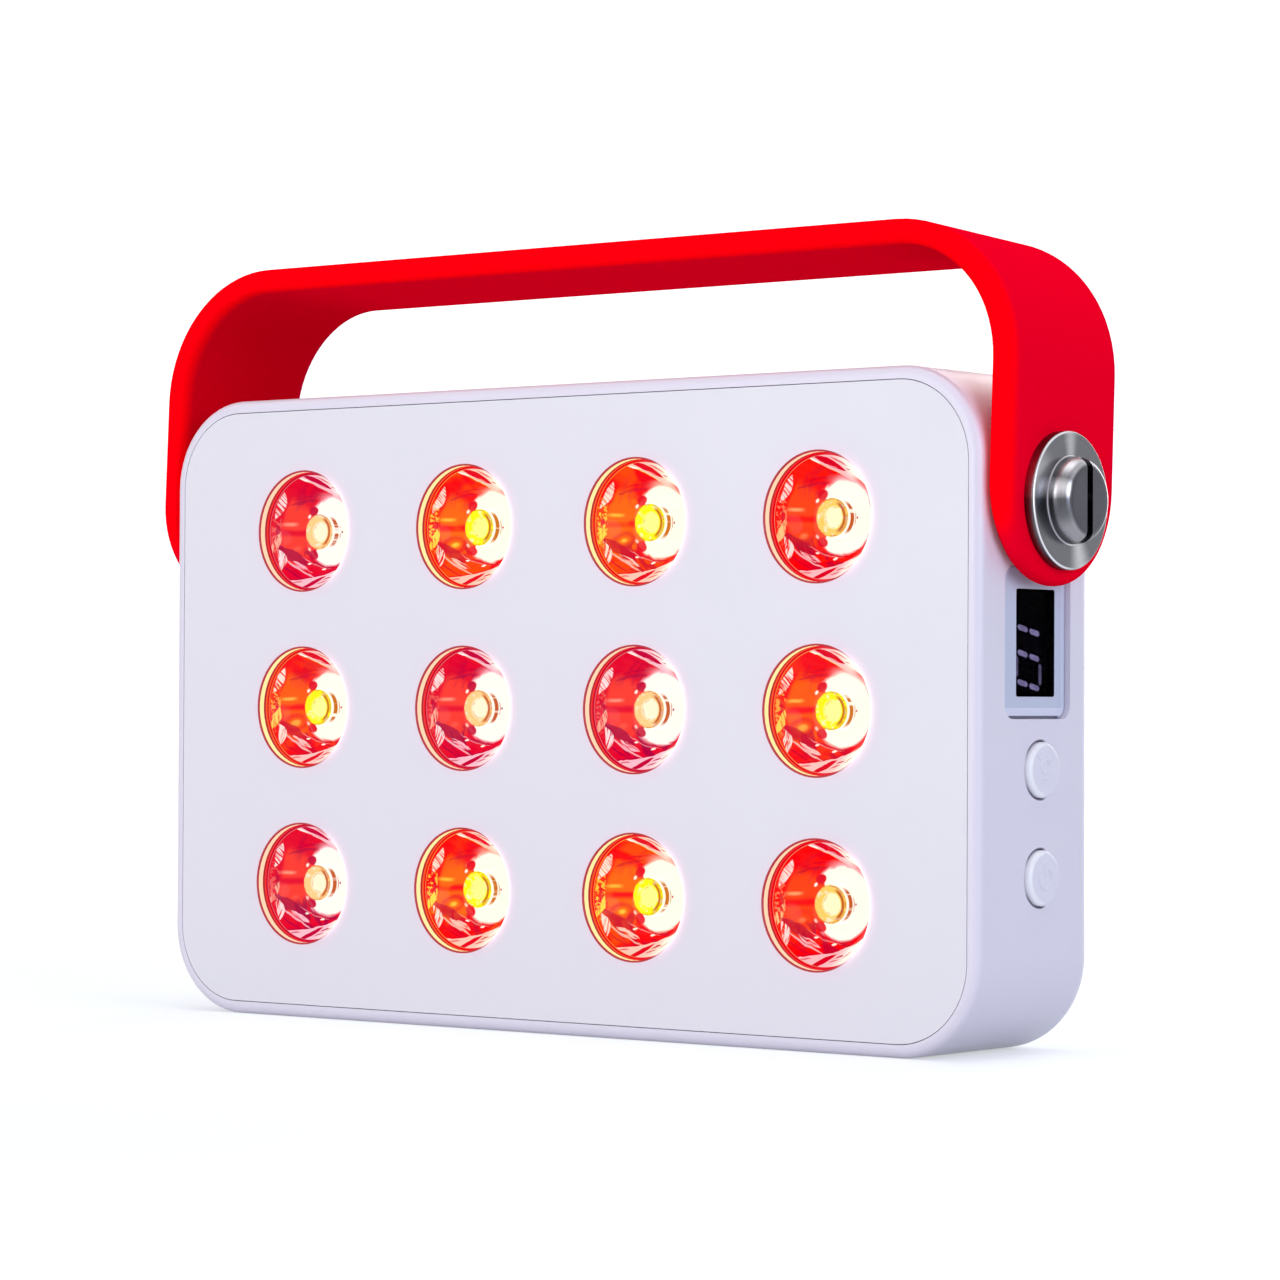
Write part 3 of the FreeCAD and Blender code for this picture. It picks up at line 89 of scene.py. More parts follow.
def angle(name, degrees, description):
    return bpy.props.FloatProperty(name=name, default=math.radians(degrees), unit="ROTATION",
                                   description=description)


def level(name, default, description):
    return bpy.props.FloatProperty(name=name, default=default, min=0.0, description=description)


def linear(red, green, blue):
    """A colour given as 0-255 display values, in the linear values that shaders use."""
    parts = (np.array([red, green, blue]) / 255.0 + 0.055) / 1.055
    dark = np.array([red, green, blue]) / 255.0 / 12.92
    return tuple(float(v) for v in np.where(parts < 0.0955, dark, parts ** 2.4))


def colour(name, default, description):
    return bpy.props.FloatVectorProperty(name=name, default=linear(*default), size=3, min=0.0, max=1.0,
                                         subtype="COLOR", description=description)


class SafelightColours(bpy.types.PropertyGroup):
    """Colours of the outside pieces."""
    case: colour("Case", (230, 223, 238), "Moulded case and its rim")
    panel: colour("Panel", (232, 228, 237), "Front panel")
    surround: colour("Surround", (196, 201, 224), "Frame around the display")
    button: colour("Buttons", (230, 225, 240), "Caps of the two buttons")
    handle: colour("Handle", (255, 0, 14), "Soft strap of the handle")
    steel: colour("Steel", (102, 102, 106), "Turned pivot screws")
    bar_lit: colour("Lit bars", (176, 166, 212), "Bars of the digits that show")
    bar_dark: colour("Dark bars", (9, 9, 15), "Bars of the digits that do not show")


class SafelightSizes(bpy.types.PropertyGroup):
    """Sizes of the surfaces that are finer than the frame's."""
    bowl_radius: length("Bowl radius", 10.9 * MM, "Mouth of the bowl in a lens")
    bowl_depth: length("Bowl depth", 5.5 * MM, "Bowl, from the face of the lens to its floor")
    floor_radius: length("Floor radius", 6.1 * MM, "Bright floor of the bowl")
    bulb_radius: length("Bulb radius", 3.45 * MM, "Round bulb in the middle of the bowl")
    bulb_sunk: length("Bulb depth", 2.0 * MM, "Top of the bulb, behind the face of the lens")
    digit_height: length("Digit height", 8.4 * MM, "Digits, foot to head")
    digit_width: length("Digit width", 6.1 * MM, "Digits, side to side")
    digit_pitch: length("Digit pitch", 9.55 * MM, "Digits, centre to centre")
    bar_width: length("Bar width", 0.95 * MM, "One bar of a digit")
    icon_height: length("Icon relief", 0.2 * MM, "Raised symbols on the buttons")


class SafelightStage(bpy.types.PropertyGroup):
    """Camera, lamps and background."""
    camera_place: bpy.props.FloatVectorProperty(
        name="Camera", default=(0.48817, -0.61210, 0.06222), size=3, unit="LENGTH", subtype="TRANSLATION",
        description="Where the camera stands")
    azimuth: angle("Azimuth", 38.1373, "Turn of the camera about the vertical, from the front to the right")
    elevation: angle("Elevation", -0.7882, "Tilt of the camera: below zero it looks up")
    roll: angle("Roll", 0.2685, "Roll of the camera")
    focal: bpy.props.FloatProperty(name="Focal length", default=117.18, unit="CAMERA",
                                   description="Focal length on a 36 mm sensor")
    ambient: level("Ambient", 0.46, "Even light from all round")
    key: level("Key", 0.46, "Soft lamp to the front left")
    fill: level("Fill", 0.36, "Soft cool lamp to the right")
    top: level("Top", 0.3, "Soft lamp overhead")
    rear: level("Rear", 0.4, "Soft lamp behind")


# ---------------------------------------------------------------------------------------------
# Node trees: wires carry values between nodes, and arithmetic on them adds Math nodes
# ---------------------------------------------------------------------------------------------

class Wire:
    """One value of a node tree."""

    def __init__(self, tree, socket):
        self.tree = tree
        self.socket = socket

    def __add__(self, other):
        return maths(self.tree, "ADD", self, other)

    def __sub__(self, other):
        return maths(self.tree, "SUBTRACT", self, other)

    def __rsub__(self, other):
        return maths(self.tree, "SUBTRACT", other, self)

    def __mul__(self, other):
        return maths(self.tree, "MULTIPLY", self, other)

    def __truediv__(self, other):
        return maths(self.tree, "DIVIDE", self, other)

    __radd__ = __add__
    __rmul__ = __mul__


def feed(tree, socket, value):
    """Joins a wire to a socket, or sets the socket to a number or a colour."""
    if isinstance(value, Wire):
        tree.links.new(value.socket, socket)
    elif hasattr(socket.default_value, "__len__") and len(socket.default_value) == 4 and len(value) == 3:
        socket.default_value = (*value, 1.0)
    else:
        socket.default_value = value


def maths(tree, operation, *values):
    node = tree.nodes.new("ShaderNodeMath")
    node.operation = operation
    for socket, value in zip(node.inputs, values):
        feed(tree, socket, value)
    return Wire(tree, node.outputs[0])


def larger(a, b):
    return maths(a.tree, "MAXIMUM", a, b)


def smaller(a, b):
    return maths(a.tree, "MINIMUM", a, b)


def absolute(a):
    return maths(a.tree, "ABSOLUTE", a)


def span(a, b):
    """How far the place (a, b) lies from (0, 0)."""
    return maths(a.tree, "SQRT", a * a + b * b)


def ramp(value, low, high):
    """0 below low, 1 above high, and a smooth step between; it falls where low is above high."""
    if low > high:
        return 1.0 - ramp(value, high, low)
    node = value.tree.nodes.new("ShaderNodeMapRange")
    node.interpolation_type = "SMOOTHSTEP"
    feed(value.tree, node.inputs["Value"], value)
    node.inputs["From Min"].default_value = low
    node.inputs["From Max"].default_value = high
    return Wire(value.tree, node.outputs["Result"])


def band(value, low, high, soft):
    """1 between low and high, with smooth sides."""
    return ramp(value, low - soft, low + soft) * ramp(value, high + soft, high - soft)


def blend_colour(tree, share, first, second, kind="MIX"):
    """The first colour, moved towards the second by a share."""
    node = tree.nodes.new("ShaderNodeMix")
    node.data_type = "RGBA"
    node.blend_type = kind
    feed(tree, node.inputs["Factor"], share)
    feed(tree, node.inputs["A"], first)
    feed(tree, node.inputs["B"], second)
    return Wire(tree, node.outputs["Result"])


def layered(tree, colour, *layers):
    """A colour under layers. Each is a share, and the colour that what lies under it moves towards."""
    for share, tint in layers:
        colour = blend_colour(tree, share, colour, tint)
    return colour


def joined(tree, x, y, z):
    node = tree.nodes.new("ShaderNodeCombineXYZ")
    for socket, value in zip(node.inputs, (x, y, z)):
        feed(tree, socket, value)
    return Wire(tree, node.outputs[0])


def noise(tree, place, scale, detail=2.0, roughness=0.5, distortion=0.0):
    """Smooth noise between 0 and 1 at a place."""
    node = tree.nodes.new("ShaderNodeTexNoise")
    feed(tree, node.inputs["Vector"], place)
    feed(tree, node.inputs["Scale"], scale)
    node.inputs["Detail"].default_value = detail
    node.inputs["Roughness"].default_value = roughness
    node.inputs["Distortion"].default_value = distortion
    return Wire(tree, node.outputs["Fac"])


def object_place(tree):
    """Object coordinates, in metres."""
    node = tree.nodes.new("ShaderNodeTexCoord")
    return Wire(tree, node.outputs["Object"])


def split(place):
    node = place.tree.nodes.new("ShaderNodeSeparateXYZ")
    feed(place.tree, node.inputs[0], place)
    return [Wire(place.tree, socket) for socket in node.outputs]


def new_group(name, inputs, outputs):
    """A node group with named sockets.

    Returns its tree, its input wires by name, and a function that sets an output.
    """
    tree = bpy.data.node_groups.new(name, "ShaderNodeTree")
    kinds = {"value": "NodeSocketFloat", "colour": "NodeSocketColor"}
    for socket_name, kind, default in inputs:
        socket = tree.interface.new_socket(socket_name, in_out="INPUT", socket_type=kinds[kind])
        socket.default_value = (*default, 1.0) if kind == "colour" else default
    for socket_name, kind in outputs:
        tree.interface.new_socket(socket_name, in_out="OUTPUT", socket_type=kinds[kind])
    entry = tree.nodes.new("NodeGroupInput")
    leave = tree.nodes.new("NodeGroupOutput")
    wires = {socket_name: Wire(tree, entry.outputs[socket_name]) for socket_name, _, _ in inputs}
    return tree, wires, lambda socket_name, value: feed(tree, leave.inputs[socket_name], value)


def use_group(tree, name, **values):
    """Places a group in a tree and returns its outputs by name."""
    node = tree.nodes.new("ShaderNodeGroup")
    node.node_tree = bpy.data.node_groups[name]
    for socket_name, value in values.items():
        feed(tree, node.inputs[socket_name.replace("_", " ")], value)
    return {socket.name: Wire(tree, socket) for socket in node.outputs}


def arrange(tree):
    """Sets the nodes out in columns, each as far left of the output as its wires reach.

    Apart from a tree's first two nodes, every node is made after the ones that feed it.
    """
    feeders = {node.name: [] for node in tree.nodes}
    for link in tree.links:
        feeders[link.to_node.name].append(link.from_node.name)
    names = list(feeders)
    column = dict.fromkeys(names, 0)
    for name in names[1::-1] + names[:1:-1]:
        for feeder in feeders[name]:
            column[feeder] = max(column[feeder], column[name] + 1)
    rows = {}
    for node in tree.nodes:
        place = column[node.name]
        rows[place] = rows.get(place, 0) + 1
        node.location = (-220 * place, -180 * rows[place])


def new_material(name, **constants):
    """A material with one Principled BSDF, whose plain values are set by name."""
    material = bpy.data.materials.new(name)
    material.use_nodes = True
    shader = material.node_tree.nodes["Principled BSDF"]
    for socket_name, value in constants.items():
        feed(material.node_tree, shader.inputs[socket_name.replace("_", " ")], value)
    return material, material.node_tree, shader


def seen_directly(tree):
    """1 where the surface is seen by the camera, or in gloss or through glass."""
    rays = tree.nodes.new("ShaderNodeLightPath")
    camera, glossy, through = (Wire(tree, rays.outputs["Is %s Ray" % kind])
                               for kind in ("Camera", "Glossy", "Transmission"))
    return larger(larger(camera, glossy), through)


def bump(tree, shader, height, distance):
    node = tree.nodes.new("ShaderNodeBump")
    node.inputs["Strength"].default_value = 1.0
    node.inputs["Distance"].default_value = distance
    feed(tree, node.inputs["Height"], height)
    tree.links.new(node.outputs["Normal"], shader.inputs["Normal"])


# ---------------------------------------------------------------------------------------------
# Shared effects
# ---------------------------------------------------------------------------------------------

# Colours of a lit lens, from the depths of its bowl to its white-hot floor
LENS_TINTS = ("Deep", "Warm", "Cool", "Pale", "Fleck", "Bulb", "Bulb middle", "Bulb arc", "Hot")


def make_grain_group():
    """Moulded or cast skin: fine relief, and slow changes of gloss and shade across the piece."""
    tree, inputs, set_output = new_group(
        "Grain",
        [("Scale", "value", 2500.0), ("Roughness", "value", 0.4), ("Spread", "value", 0.08),
         ("Colour", "colour", (0.8, 0.8, 0.8)), ("Shade", "value", 0.03)],
        [("Base Color", "colour"), ("Roughness", "value"), ("Height", "value")])
    place = object_place(tree)
    fine = noise(tree, place, inputs["Scale"], 3.0, 0.6)
    slow = noise(tree, place, inputs["Scale"] * 0.02, 2.0)
    set_output("Height", fine)
    set_output("Roughness", inputs["Roughness"] + (slow - 0.5) * inputs["Spread"] * 2.0
               + (fine - 0.5) * inputs["Spread"])
    darker = blend_colour(tree, 1.0, inputs["Colour"], (0.86, 0.86, 0.88), "MULTIPLY")
    set_output("Base Color", blend_colour(tree, slow * inputs["Shade"] * 4.0, inputs["Colour"], darker))
    arrange(tree)


def make_turned_group():
    """Lathe marks: rings about the X axis through the pivots, uneven in depth and a little broken up.

    Fan-shaped sectors of painted highlight and painted shade, standing in for what turned metal reflects,
    lighten and darken the tint round the axis. Each is centred on an angle in radians, 0 to the rear and a
    quarter turn at the top.
    """
    tree, inputs, set_output = new_group(
        "Turned", [("Pitch", "value", 0.22), ("Roughness", "value", 0.3), ("Fans", "value", 1.0),
                   ("Colour", "colour", (0.5, 0.5, 0.5))],
        [("Base Color", "colour"), ("Roughness", "value"), ("Height", "value")])
    x, y, z = (value / MM for value in split(object_place(tree)))
    y, z = y - PIVOT.y / MM, z - PIVOT.z / MM
    radius = span(y, z)
    rings = noise(tree, joined(tree, radius / inputs["Pitch"], x / inputs["Pitch"], 0.0), 1.0, 3.0, 0.7)
    scratches = noise(tree, joined(tree, radius * 3.0, y * 0.4, z * 0.4), 1.0, 2.0)
    set_output("Height", rings)
    set_output("Roughness", inputs["Roughness"] + (rings - 0.5) * 0.16 + (scratches - 0.5) * 0.12)
    turn = maths(tree, "ARCTAN2", z, y) + (rings - 0.5) * 0.12

    def fan(middle_angle, outer, inner=0.0):
        return ramp(absolute(turn - middle_angle), outer, inner)

    # On the flange, fans of painted highlight past the top and before the foot, and fans of painted shade at
    # the front and the rear
    painted_highlight = larger(larger(fan(1.60, 0.24) * 0.45, fan(-1.30, 0.36) * 0.6), fan(2.75, 0.55) * 0.4)
    dark = larger(ramp(absolute(absolute(turn) - 3.02), 0.30, 0.0) * ramp(z, 0.8, -0.3),
                  fan(0.0, 0.9, 0.1) * 0.4)
    # On the dome, a painted highlight towards the front and two softer ones, above and below it
    out = absolute(x) - SIDE_FACE / MM
    dome = ramp(out, 6.82, 6.95)
    on_dome = larger(larger(fan(2.86, 0.34), fan(2.0, 0.75, 0.2) * 0.5), fan(-2.1, 0.7, 0.2) * 0.35)
    painted_highlight = painted_highlight * (1.0 - dome) + dome * on_dome
    # Thin painted highlights round the edge of the flange and round the foot of the dome
    painted_highlight = larger(painted_highlight, larger(band(radius, 11.68, 11.98, 0.06) * ramp(absolute(turn), 1.2, 1.8),
                                   band(radius, 7.55, 7.82, 0.05) * (1.0 - ramp(out, 6.95, 7.05))))
    # The flat top of the head takes no fans and is painted darker instead, a painted dark reflection
    flat_top = ramp(radius, 6.4, 5.7)
    painted_fans = inputs["Fans"] * (1.0 - flat_top)
    # The colour of the painted shade, then the tint with painted shade, painted highlights and the flat top's
    # painted dark reflection
    shade = blend_colour(tree, 1.0, inputs["Colour"], (0.74, 0.73, 0.76), "MULTIPLY")
    tint = layered(tree, inputs["Colour"], (dark * painted_fans, shade), (painted_highlight * painted_fans * 0.8, (0.80, 0.78, 0.82)),
                   (inputs["Fans"] * flat_top * 0.62, (0.03, 0.03, 0.045)))
    lined = blend_colour(tree, 1.0, tint, (0.72, 0.72, 0.74), "MULTIPLY")
    set_output("Base Color", blend_colour(tree, ramp(rings, 0.35, 0.7) * 0.45, tint, lined))
    arrange(tree)


def whole(value, low, high):
    """The nearest whole number, kept between two ends."""
    return smaller(larger(maths(value.tree, "ROUND", value), low), high)


def lens_place(tree):
    """Where a point lies about its nearest lens.

    Returns millimetres across and up from the lens's axis, millimetres behind the panel's face, and the
    numbers of the lens's column and row, counted from the middle.
    """
    x, y, z = split(object_place(tree))
    column = whole(x / COLUMN_PITCH - 0.5, -2.0, 1.0)
    row = whole((z - MID_HEIGHT) / ROW_PITCH, -1.0, 1.0)
    across = (x - (column + 0.5) * COLUMN_PITCH) / MM
    up = (z - MID_HEIGHT - row * ROW_PITCH) / MM
    return across, up, (y - PANEL_FRONT) / MM, column, row


def near(a, b, place_a, place_b, inner, outer):
    """1 within the inner distance of a place, falling to 0 at the outer one."""
    return ramp(span(a - place_a, b - place_b), outer, inner)


def stroke(across, up, start, end, half_width, bend):
    """1 along a stroke with pointed ends, bowed to its left by a bend. All are millimetres.

    With t from 0 at the start to 1 at the end, its middle line leaves the straight one by
    4 t (1 - t) * bend, and it reaches 4 t (1 - t) * half_width to each side.
    """
    run = np.subtract(end, start)
    size = math.hypot(*run)
    x, y = (float(v) for v in run / size)
    share = across * (x / size) + up * (y / size) - (start[0] * x + start[1] * y) / size
    side = up * x - across * y - (start[1] * x - start[0] * y)
    swell = share * (1.0 - share) * 4.0
    return ramp(absolute(side - swell * bend) - swell * half_width, 0.06, -0.05)


def make_glow_group():
    """Lens light to be painted on the panel: painted light on the hole walls, a thin painted dark rim of
    shade and a faint painted halo.
    """
    tree, inputs, set_output = new_group(
        "Lens light", [("Hole", "value", PANEL_HOLE / MM)],
        [(name, "value") for name in ("Halo", "Flare", "Wall", "Lower wall", "Rim", "Warm")])
    across, up, behind, column, row = lens_place(tree)
    radius = span(across, up)
    outside = radius - inputs["Hole"]
    lean = across / radius
    # The painted halo fades with distance from the hole. The painted flare lies close to its right side.
    far = larger(outside, 0.0)
    set_output("Halo", maths(tree, "EXPONENT", far * -0.85) * (0.6 + 0.4 * ramp(lean, -0.2, 0.9)))
    set_output("Flare", maths(tree, "EXPONENT", far * -2.2) * ramp(lean, 0.35, 0.85))
    # Down the hole, all painted: the rounded edge in painted shade, a wall in painted light, a painted dark
    # line of shade and a deeper wall in painted red light in front of the lens
    inside = ramp(outside, 0.5, 0.4) * ramp(behind, 0.24, 0.32)
    set_output("Wall", inside * ramp(behind, 1.46, 1.36))
    set_output("Lower wall", inside * ramp(behind, 1.94, 2.02))
    edge = band(outside, -0.2, 0.33, 0.03) * ramp(behind, 0.32, 0.24) * ramp(lean, 0.75, 0.3)
    set_output("Rim", larger(edge, inside * band(behind, 1.40, 1.98, 0.04)))
    # Warmer lenses: the inner columns of the outer rows, and the outer columns of the middle row
    outer_column = ramp(absolute(column + 0.5), 0.9, 1.1)
    middle_row = ramp(absolute(row), 0.6, 0.4)
    set_output("Warm", 1.0 - absolute(outer_column - middle_row))
    arrange(tree)


def make_lit_lens_group(sizes):
    """A lit lens: red bowl with warmer lobes, pale flecks and facets, a white-hot floor and a round bulb.

    The pattern is laid out by the angle round the axis, given by its cosine and sine, and by how far a
    point lies down the wall of the bowl, 0 at its mouth and 1 at its floor. Lengths are millimetres.
    """
    tree, inputs, set_output = new_group(
        "Lit lens", [(name, "colour", (1.0, 0.5, 0.3)) for name in LENS_TINTS] + [("Warmth", "value", 0.3)],
        [("Base Color", "colour"), ("Emission Color", "colour")])
    deep, warm, cool, pale, fleck, bulb_tint, bulb_middle, bulb_arc, hot, warmth = inputs.values()
    across, up, behind, column, row = lens_place(tree)
    depth = behind - (PANEL_BACK - PANEL_FRONT) / MM
    radius = span(across, up)
    cosine = across / larger(radius, 0.01)
    sine = up / larger(radius, 0.01)
    mouth, floor_edge, bulb = sizes.bowl_radius / MM, sizes.floor_radius / MM, sizes.bulb_radius / MM
    bulb_top, floor_depth = sizes.bulb_sunk / MM, sizes.bowl_depth / MM
    down = (mouth - radius) / (mouth - floor_edge)
    # Each lens takes its own part of the noise
    own = column * 7.3 + row * 3.1
    wide = noise(tree, joined(tree, cosine * 1.6 + own, sine * 1.6, down * 1.1), 1.0, 1.5, 0.5, 0.6)
    swept = joined(tree, cosine * 1.1, sine * 1.1 + own, down * 3.4 + cosine * 1.6)
    sweep = noise(tree, swept, 1.0, 2.0, 0.5, 0.9)
    speck = noise(tree, joined(tree, across * 2.6, up * 1.5, own), 1.0, 2.0, 0.6)
    wander = wide - 0.5

    # Two warmer lobes on the left, above and below a deep band, and a ring of shade round a glimmer
    left = ramp(cosine, -0.66, -0.86) * ramp(down + wander * 0.2, 0.2, 0.32)
    lobes = left * ramp(absolute(up + wander * 0.8), 0.15, 1.1) * (0.7 + 0.6 * wide)
    eddy = span(across + 7.5, up + 3.1) + wander * 0.8
    shade = band(eddy, 1.0, 1.8, 0.3)
    lobes = smaller(lobes * (1.0 - 0.9 * shade * warmth), 1.0)
    glimmer = ramp(eddy, 0.8, 0.2) * warmth
    beam = band(up + wander * 0.6, 1.4, 1.9, 0.3) * band(down, 0.28, 0.60, 0.12) * ramp(cosine, -0.8, -0.9)
    wall = layered(tree, deep, (smaller(lobes + warmth * 0.6 * ramp(wide, 0.45, 0.62), 1.0), warm),
                   (shade * left * warmth * 0.5, cool), (larger(glimmer, beam * 0.7), fleck))

    # Cooler sweeps above and below, and flecks in a crescent inside the left of the mouth
    cooler = ramp(absolute(sine), 0.35, 0.6) * ramp(sweep, 0.47, 0.56) * band(down, 0.25, 0.95, 0.12)
    crescent = ramp(down - 0.25 + (cosine + 1.0), 0.01, -0.02) * ramp(down, 0.0, 0.05)
    flecks = crescent * ramp(speck, 0.50, 0.56) * ramp(absolute(sine), 0.6, 0.1)
    wall = layered(tree, wall, (cooler * (0.30 + 0.5 * ramp(sine, 0.2, -0.4)), cool),
                   (flecks * (0.15 + 0.85 * warmth), fleck))

    # Pale bands at the mouth, cut off by a straight edge above and a bowed one below
    along_x, along_y = across + wander * 0.9, up + (sweep - 0.5) * 0.7
    upper = along_y + along_x * 0.78 - 7.92
    lower = along_x * 0.32 + along_x * along_x * 0.024 - 8.35 - along_y
    bands = larger(ramp(upper, -0.05, 0.07), ramp(lower, -0.05, 0.07))
    shadows = larger(band(upper, -0.40, -0.16, 0.07) * ramp(across, -1.5, 0.5),
                     band(lower, -0.30, -0.08, 0.07) * ramp(across, 3.5, 1.5))
    bright_edge = band(upper, -0.12, 0.06, 0.05) * ramp(across, 1.5, 0.0)
    wall = layered(tree, wall, (bands, blend_colour(tree, ramp(across, 0.5, 4.5), pale, hot)),
                   (shadows * 0.6, cool), (bright_edge * 0.8, fleck))

    # Strokes of light and shade: start, end, half width, bend, colour, strength or fine lines in them
    dusk, glow = blend_colour(tree, 0.6, deep, cool), blend_colour(tree, 0.5, pale, hot)
    upright = noise(tree, joined(tree, across * 5.0 + up * 0.9, up * 0.3, own), 1.0, 2.0, 0.6, 0.3)
    upright = ramp(upright, 0.38, 0.54)
    slanted = joined(tree, along_x * 1.9 + along_y * 3.2, along_x * 0.3 - along_y * 0.2, own)
    raked = ramp(noise(tree, slanted, 1.0, 2.0, 0.6), 0.36, 0.56)
    strokes = (
        # Upper facets
        ((-2.4, 10.8), (1.9, 8.2), 0.80, 0.25, dusk, 1.0), ((0.8, 10.6), (3.4, 8.9), 0.22, 0.1, dusk, 0.8),
        ((0.9, 8.6), (1.9, 8.3), 0.13, 0.0, cool, 0.9), ((2.2, 8.6), (3.4, 8.3), 0.12, 0.0, cool, 0.8),
        ((-3.4, 10.4), (-2.0, 9.8), 0.20, 0.0, hot, 0.9), ((-1.6, 9.6), (0.6, 8.6), 0.10, 0.1, pale, 0.7),
        # Lower facets
        ((-5.2, -9.9), (-3.4, -9.7), 0.16, 0.1, dusk, 0.7),
        ((-2.6, -11.2), (0.5, -8.6), 0.62, -0.1, dusk, 1.0),
        ((0.2, -10.2), (2.2, -9.5), 0.15, 0.0, cool, 0.8), ((0.7, -9.4), (2.6, -8.8), 0.18, 0.1, cool, 0.9),
        ((2.6, -9.3), (4.2, -8.0), 0.20, 0.0, dusk, 0.6),
        # Long sweeps across the lower wall, and two glints on it
        ((-10.0, -2.4), (-4.6, -6.6), 0.75, -0.3, cool, 0.75),
        ((-7.3, -5.6), (-3.2, -7.9), 0.36, -0.15, pale, raked),
        ((-9.2, -4.6), (-1.6, -9.1), 0.13, -0.5, pale, 0.8),
        ((-6.2, -4.9), (0.4, -7.1), 0.10, -0.5, pale, 0.6),
        ((-8.6, -6.2), (-3.6, -9.2), 0.10, -0.3, cool, 0.7),
        ((-5.0, -5.6), (1.6, -6.9), 0.30, -0.3, dusk, 0.8),
        ((-5.0, -6.1), (-4.3, -6.2), 0.17, 0.0, hot, 0.9), ((-1.6, -7.3), (-0.6, -7.2), 0.20, 0.0, hot, 0.9),
        # Shade on the upper wall
        ((-7.0, 6.2), (0.5, 7.0), 0.16, 0.6, dusk, 0.7), ((-8.0, 5.2), (-2.6, 6.4), 0.30, 0.3, cool, 0.5),
        # Lined patches down the left
        ((-7.3, 7.7), (-10.2, 2.8), 0.42, -0.1, glow, upright),
        ((-10.2, 2.0), (-10.0, -2.0), 0.2, 0.1, dusk, 0.8),
        ((-9.8, 0.0), (-10.3, -4.6), 0.40, 0.0, fleck, upright),
        ((-9.7, -3.2), (-7.9, -7.4), 0.42, 0.1, glow, upright))
    for start, end, half_width, bend, tint, strength in strokes:
        mask = stroke(along_x, along_y, start, end, half_width, bend)
        wall = blend_colour(tree, mask * strength, wall, tint)

    # White-hot floor: it climbs softly on the upper side and has a ragged edge on the lower one. A deep strip
    # lies outside it on the right. Two red tongues reach into it on the left, and the lobes lie between them.
    above = ramp(sine, 0.25, 0.75) * ramp(cosine, -0.5, 0.1)
    soft = ramp(down + sweep * 0.2 - 0.1, 0.58, 0.92) * above
    ragged = down + (sweep - 0.5) * 0.26 + above * 0.08
    beside = absolute(up) + wander * 0.9
    tongues = near(beside * 1.15 - across * 0.2, across, 5.7, -4.3, 0.9, 1.25)
    between = ramp(across + beside * 0.35, -2.2, -2.7) * ramp(beside, 4.4, 3.9)
    open_floor = (1.0 - tongues) * (1.0 - between)
    spots = near(absolute(up) - (across + 5.6) * 0.5, across, 3.15, -5.5, 0.15, 0.45) * ramp(down, 0.7, 0.8)
    wall = layered(tree, wall, (ramp(cosine, 0.25, 0.6) * band(down, 0.60, 0.84, 0.05), deep), (soft, pale),
                   (tongues * ramp(down, 0.72, 0.84) * 0.9, blend_colour(tree, 0.55, deep, cool)),
                   (ramp(ragged, 0.84, 0.93) * 0.6 * open_floor, pale),
                   (ramp(ragged, 0.90, 0.99) * open_floor, hot),
                   (spots * (0.55 + 0.45 * ramp(up, -1.0, 1.0)), hot))

    # Top of the bulb: a ring round a shallow dimple, with brown arcs on its right
    mottle = noise(tree, joined(tree, across * 0.9, up * 0.9, own), 1.0, 2.0)
    rings = larger(band(radius, 2.55, 3.1, 0.08), band(radius, 2.0, 2.15, 0.05) * 0.5)
    outline = larger(band(radius, 3.15, 3.4, 0.08) * ramp(mottle, 0.36, 0.5) * 0.6,
                     band(radius, 1.72, 1.86, 0.05) * ramp(mottle, 0.5, 0.42) * 0.5)
    top = layered(tree, bulb_tint, (ramp(radius, 2.15, 1.75), bulb_middle),
                  (ramp(mottle, 0.52, 0.68) * ramp(radius, 1.6, 2.4) * 0.55, hot),
                  (larger(rings * ramp(cosine, 0.25, 0.7) * 0.95, outline), bulb_arc))
    # Its side: two brown arcs and a mark on the right, and plain on the left
    arcs = larger(band(depth, bulb_top + 0.9, bulb_top + 2.0, 0.15) * ramp(absolute(sine), 0.95, 0.6),
                  band(depth, bulb_top + 2.4, bulb_top + 2.6, 0.08) * ramp(absolute(sine), 0.5, 0.2))
    mark = near(up, depth, 0.0, bulb_top + 3.0, 0.1, 0.35) * ramp(cosine, 0.8, 0.9)
    side = layered(tree, hot, (arcs * ramp(mottle, 0.3, 0.45), bulb_arc), (mark, cool),
                   (ramp(cosine, 0.1, -0.3), bulb_tint))
    on_side = ramp(depth, bulb_top + 0.2, bulb_top + 0.3) * ramp(radius, bulb - 0.3, bulb - 0.1)
    on_bulb = ramp(radius, bulb + 0.25, bulb + 0.15) * ramp(depth, floor_depth - 0.1, floor_depth - 0.3)

    # Face of the lens outside the bowl: a thin bright line, then a dark edge
    line = band(radius, mouth + 0.02, mouth + 0.14, 0.04)
    edge = layered(tree, deep, (0.5, cool), (line * 0.5 * ramp(cosine, 0.1, -0.4), fleck))
    bulb_colour = blend_colour(tree, on_side, top, side)
    lit = layered(tree, wall, (on_bulb, bulb_colour), (ramp(down, 0.0, -0.015), edge))
    set_output("Emission Color", lit)
    set_output("Base Color", blend_colour(tree, 1.0, lit, (0.12, 0.05, 0.05), "MULTIPLY"))
    arrange(tree)


# ---------------------------------------------------------------------------------------------
# Materials
# ---------------------------------------------------------------------------------------------

